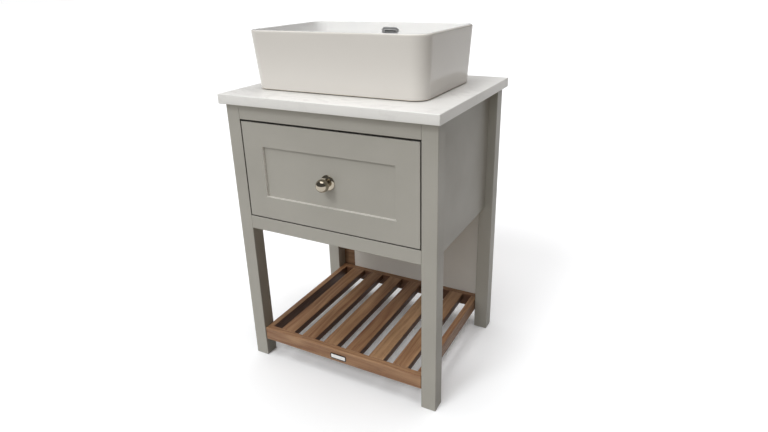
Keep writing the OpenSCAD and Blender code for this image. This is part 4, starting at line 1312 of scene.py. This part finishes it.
@dataclass
class Shelf(Assembly):
    """Slatted oak shelf with a blank plate on its front rail."""

    ease: float = 0.0019
    tenon: float = 0.006
    tenon_in: float = 0.004
    tenon_ease: float = 0.0008
    figure_shift: tuple = (0.37, 0.083, 0.121)
    tones: tuple = (0.60, 0.75, 0.68, 0.55, 0.50, 0.66, 0.46, 0.82, 0.02, 0.40)
    plate_thick: float = 0.0016
    plate_corner: float = 0.28
    plate_rim: float = 0.0030
    plate_edge: float = 0.0003
    plate_step: float = 0.0002
    plate_flat: float = 0.0008
    plate_sunk: float = 0.0005
    pin: float = 0.0015
    pin_apart: float = 0.3

    def board(self, node: str, run: Axis, number: int, tone: float) -> None:
        """One oak board, with tenons where it runs between two rails.

        The attribute wood says where the timber of each point lay in its tree: the point with
        the board's length first, shifted so that no two boards show the same figure. The
        attribute tone says how dark the board is.

        Args:
            node: The CAD node that it stands for.
            run: Direction of its length.
            number: Its number, which shifts its figure.
            tone: 0 for the palest board, 1 for the darkest.
        """
        low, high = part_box(node)
        shells = []
        if run is Axis.Y:
            inset = Vector((self.tenon_in, 0, self.tenon_in))
            shells.append(planed(low + inset, high - inset, self.tenon_ease, run))
            shoulder = Vector((0, self.tenon, 0))
            low, high = low + shoulder, high - shoulder
        shells.append(planed(low, high, self.ease, run))
        piece = made("oak_" + node.removeprefix("shelf_"), shells, self.finishes["oak"], 60)
        points = coordinates(piece.data)
        mark(piece.data, "wood", points[:, run.first()] + number * np.array(self.figure_shift))
        mark(piece.data, "tone", np.full(len(points), tone))
        self.stand_in(piece, node, "cabinet", "oiled_oak")

    def plate(self) -> None:
        """The blank plate: a fine raised border round a sunk field, on two pins.

        The attribute rim is 0 on the sunk field and 1 elsewhere, where the plate gets a dark painted shadow
        and reflection.
        """
        low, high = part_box("shelf_plate")
        size, middle = high - low, centre("shelf_plate")
        thick, rim, edge = self.plate_thick, self.plate_rim, self.plate_edge
        sunk, corner = thick - self.plate_sunk, self.plate_corner * size.z
        profile = [(0.0, 0.0), (0.0, thick - edge), (edge, thick), (rim - self.plate_step, thick),
                   (rim, sunk), (rim + self.plate_flat, sunk)]
        rings = [level(outline(size.x - 2 * i, size.z - 2 * i, corner - i, 14, 8), h) for i, h in profile]
        shells = [skin(rings).placed(leaned((middle.x, low.y + thick, middle.z), math.pi / 2))]
        pin = turned(np.array([(self.pin, 0), (self.pin, size.y - thick / 2)]), steps=24)
        for side in (-self.pin_apart, self.pin_apart):
            place = (middle.x + side * size.x, low.y + thick / 2, middle.z)
            shells.append(pin.placed(leaned(place, -math.pi / 2)))
        piece = made("blank_plate", shells, self.finishes["plate"])
        raised = np.abs(coordinates(piece.data)[:, 1] - low.y - self.plate_sunk) > NEARLY
        mark(piece.data, "rim", raised.astype(float))
        self.stand_in(piece, "shelf_plate", "cabinet", "nickel")

    def build(self) -> None:
        """Makes the rails, the slats and the plate."""
        across = ["shelf_rail_front", "shelf_rail_back"]
        boards = across + both("shelf_rail") + [f"shelf_slat_{n}" for n in range(1, 7)]
        for number, (node, tone) in enumerate(zip(boards, self.tones), start=1):
            self.board(node, Axis.X if node in across else Axis.Y, number, tone)
        self.plate()


# Studio


@dataclass(frozen=True)
class Lamp:
    """A soft far lamp.

    Its direction leads from the object to the lamp. Its strength is what a white face turned to
    it sends back, 1 for white, and its angle is its width in degrees as seen from the object.
    """

    name: str
    towards: tuple
    strength: float
    angle: float
    colour: tuple
    mirrored: bool

    def hang(self) -> None:
        """Puts the lamp in the scene, shown by glossy surfaces only where it is mirrored."""
        light = bpy.data.lights.new(self.name, "SUN")
        light.energy, light.color = self.strength * math.pi, self.colour
        light.angle = math.radians(self.angle)
        holder = bpy.data.objects.new(self.name, light)
        holder.visible_glossy = self.mirrored
        holder.rotation_mode = "QUATERNION"
        holder.rotation_quaternion = Vector(self.towards).to_track_quat("Z", "Y")
        bpy.context.scene.collection.objects.link(holder)


@dataclass
class Studio:
    """Floor, light and camera."""

    floor_half: float = 40.0
    floor_lines: int = 9
    floor_rough: float = 0.9
    floor_colour: tuple = (0.25, 0.235, 0.205, 1.0)
    floor_seen: tuple = (0.97, 0.98, 1.0, 1.0)
    floor_lift: float = 0.04
    warm: tuple = (1.0, 0.965, 0.92, 1.0)
    wood: tuple = (0.13, 0.07, 0.03, 1.0)
    sky_low: float = 0.05
    sky_high: float = 0.44
    lamps: tuple = (
        Lamp("window_light", (-0.19, -0.65, 0.73), 0.265, 18, (0.985, 1.0, 1.0), False),
        Lamp("room_light", (-0.06, -0.90, 0.42), 0.345, 56, (0.985, 1.0, 1.0), False),
        Lamp("ceiling_light", (0.03, 0.05, 1.0), 0.60, 60, (1.0, 1.0, 1.0), True),
    )
    eye: tuple = (0.749271, -1.304714, 1.069906)
    angles: tuple = (0.48673, -0.37945, -0.02208)
    sensor: float = 36.0
    lens: float = 26.1027
    shift: tuple = (-0.007396, -0.019207)
    clip: tuple = (0.05, 200.0)

    def sheet(self) -> None:
        """The floor: a plain pale grid, which the camera sees as white outside the shadow."""
        lines = self.floor_lines
        steps = np.linspace(-self.floor_half, self.floor_half, lines)
        grid = np.stack(np.meshgrid(steps, steps, indexing="xy"), -1).reshape(-1, 2)
        index = np.arange(lines ** 2).reshape(lines, lines)
        quads = np.stack([index[:-1, :-1], index[:-1, 1:], index[1:, 1:], index[1:, :-1]], -1)
        mesh = bpy.data.meshes.new("studio_floor")
        mesh.from_pydata(level(grid, 0.0).tolist(), [], quads.reshape(-1, 4).tolist())
        material, bench, shader, _ = fresh("pale_floor")
        rays = bench.put("LightPath", {}).outputs
        seen = bench.math("MAXIMUM", rays["Is Camera Ray"], rays["Is Glossy Ray"])
        seen = bench.math("MAXIMUM", seen, rays["Is Transmission Ray"])
        tint = bench.blend(seen, self.floor_colour, self.floor_seen)
        bench.lead({"Base Color": tint, "Roughness": self.floor_rough, "Specular IOR Level": 0.0,
                    "Emission Color": PAPER_WHITE, "Emission Strength": bench.times(seen, self.floor_lift)},
                   shader.inputs)
        mesh.materials.append(material)
        floor = bpy.data.objects.new("studio_floor", mesh)
        bpy.context.scene.collection.objects.link(floor)

    def sky(self) -> None:
        """Light from all round, most from overhead. Camera and mirrors see white near the floor."""
        world = bpy.data.worlds.new("studio_sky")
        world.use_nodes = True
        bench = Bench(world.node_tree)
        rays = bench.put("LightPath", {}).outputs
        towards = bench.split(bench.put("TexCoord", {}).outputs["Generated"])
        height = towards[2]
        glint = bench.span(height, -0.02, 0.07, 1.0, 0.12)
        seen = bench.math("MAXIMUM", rays["Is Glossy Ray"], rays["Is Transmission Ray"])
        dome = bench.span(height, 0.0, 1.0, self.sky_low, self.sky_high)
        lit = bench.put("Mix", {0: seen, 2: dome, 3: glint}, data_type="FLOAT").outputs[0]
        lit = bench.put("Mix", {0: rays["Is Camera Ray"], 2: lit, 3: 1.0}, data_type="FLOAT").outputs[0]
        aside = bench.times(bench.span(towards[0], -0.1, 0.5), bench.span(height, 0.95, 0.7))
        tint = bench.blend(aside, self.warm, self.wood)
        tint = bench.blend(rays["Is Diffuse Ray"], PAPER_WHITE, tint)
        bench.lead({"Strength": lit, "Color": tint}, world.node_tree.nodes["Background"].inputs)
        bpy.context.scene.world = world

    def camera(self) -> None:
        """The camera where the photograph was taken from.

        Its place and angles come from a fit of the cabinet's corners. Yaw turns it about the
        vertical, pitch tips it down and roll turns it about its own axis.
        """
        yaw, pitch, roll = self.angles
        flat = math.cos(pitch)
        ahead = Vector((-math.sin(yaw) * flat, math.cos(yaw) * flat, math.sin(pitch)))
        right = Vector((math.cos(yaw), math.sin(yaw), 0))
        up = right.cross(ahead)
        side = math.cos(roll) * right + math.sin(roll) * up
        above = -math.sin(roll) * right + math.cos(roll) * up
        data = bpy.data.cameras.new("photo_view")
        data.sensor_width, data.lens = self.sensor, self.lens
        data.shift_x, data.shift_y = self.shift
        data.clip_start, data.clip_end = self.clip
        camera = bpy.data.objects.new("photo_view", data)
        turn = Matrix((side, above, -ahead)).transposed().to_4x4()
        camera.matrix_world = Matrix.Translation(self.eye) @ turn
        bpy.context.scene.collection.objects.link(camera)
        bpy.context.scene.camera = camera

    def build(self) -> None:
        """Sets the stage."""
        self.camera()
        self.sheet()
        for lamp in self.lamps:
            lamp.hang()
        self.sky()
        bpy.context.scene.view_settings.view_transform = "Standard"


def main() -> None:
    """Builds the washstand's looks and the studio."""
    logging.basicConfig(level=logging.INFO, format="%(message)s")
    nodes = frame["nodes"]
    ours = set(nodes.values()) | set(frame["bodies"].values())
    for item in [o for o in bpy.data.objects if o not in ours]:
        bpy.data.objects.remove(item)
    Effects().build()
    finishes = Finishes()
    Studio().build()
    for part in (Cabinet, Countertop, Basin, Waste, Drawer, Knob, Runners, Shelf):
        part(nodes, finishes).build()


if __name__ == "__main__":
    main()
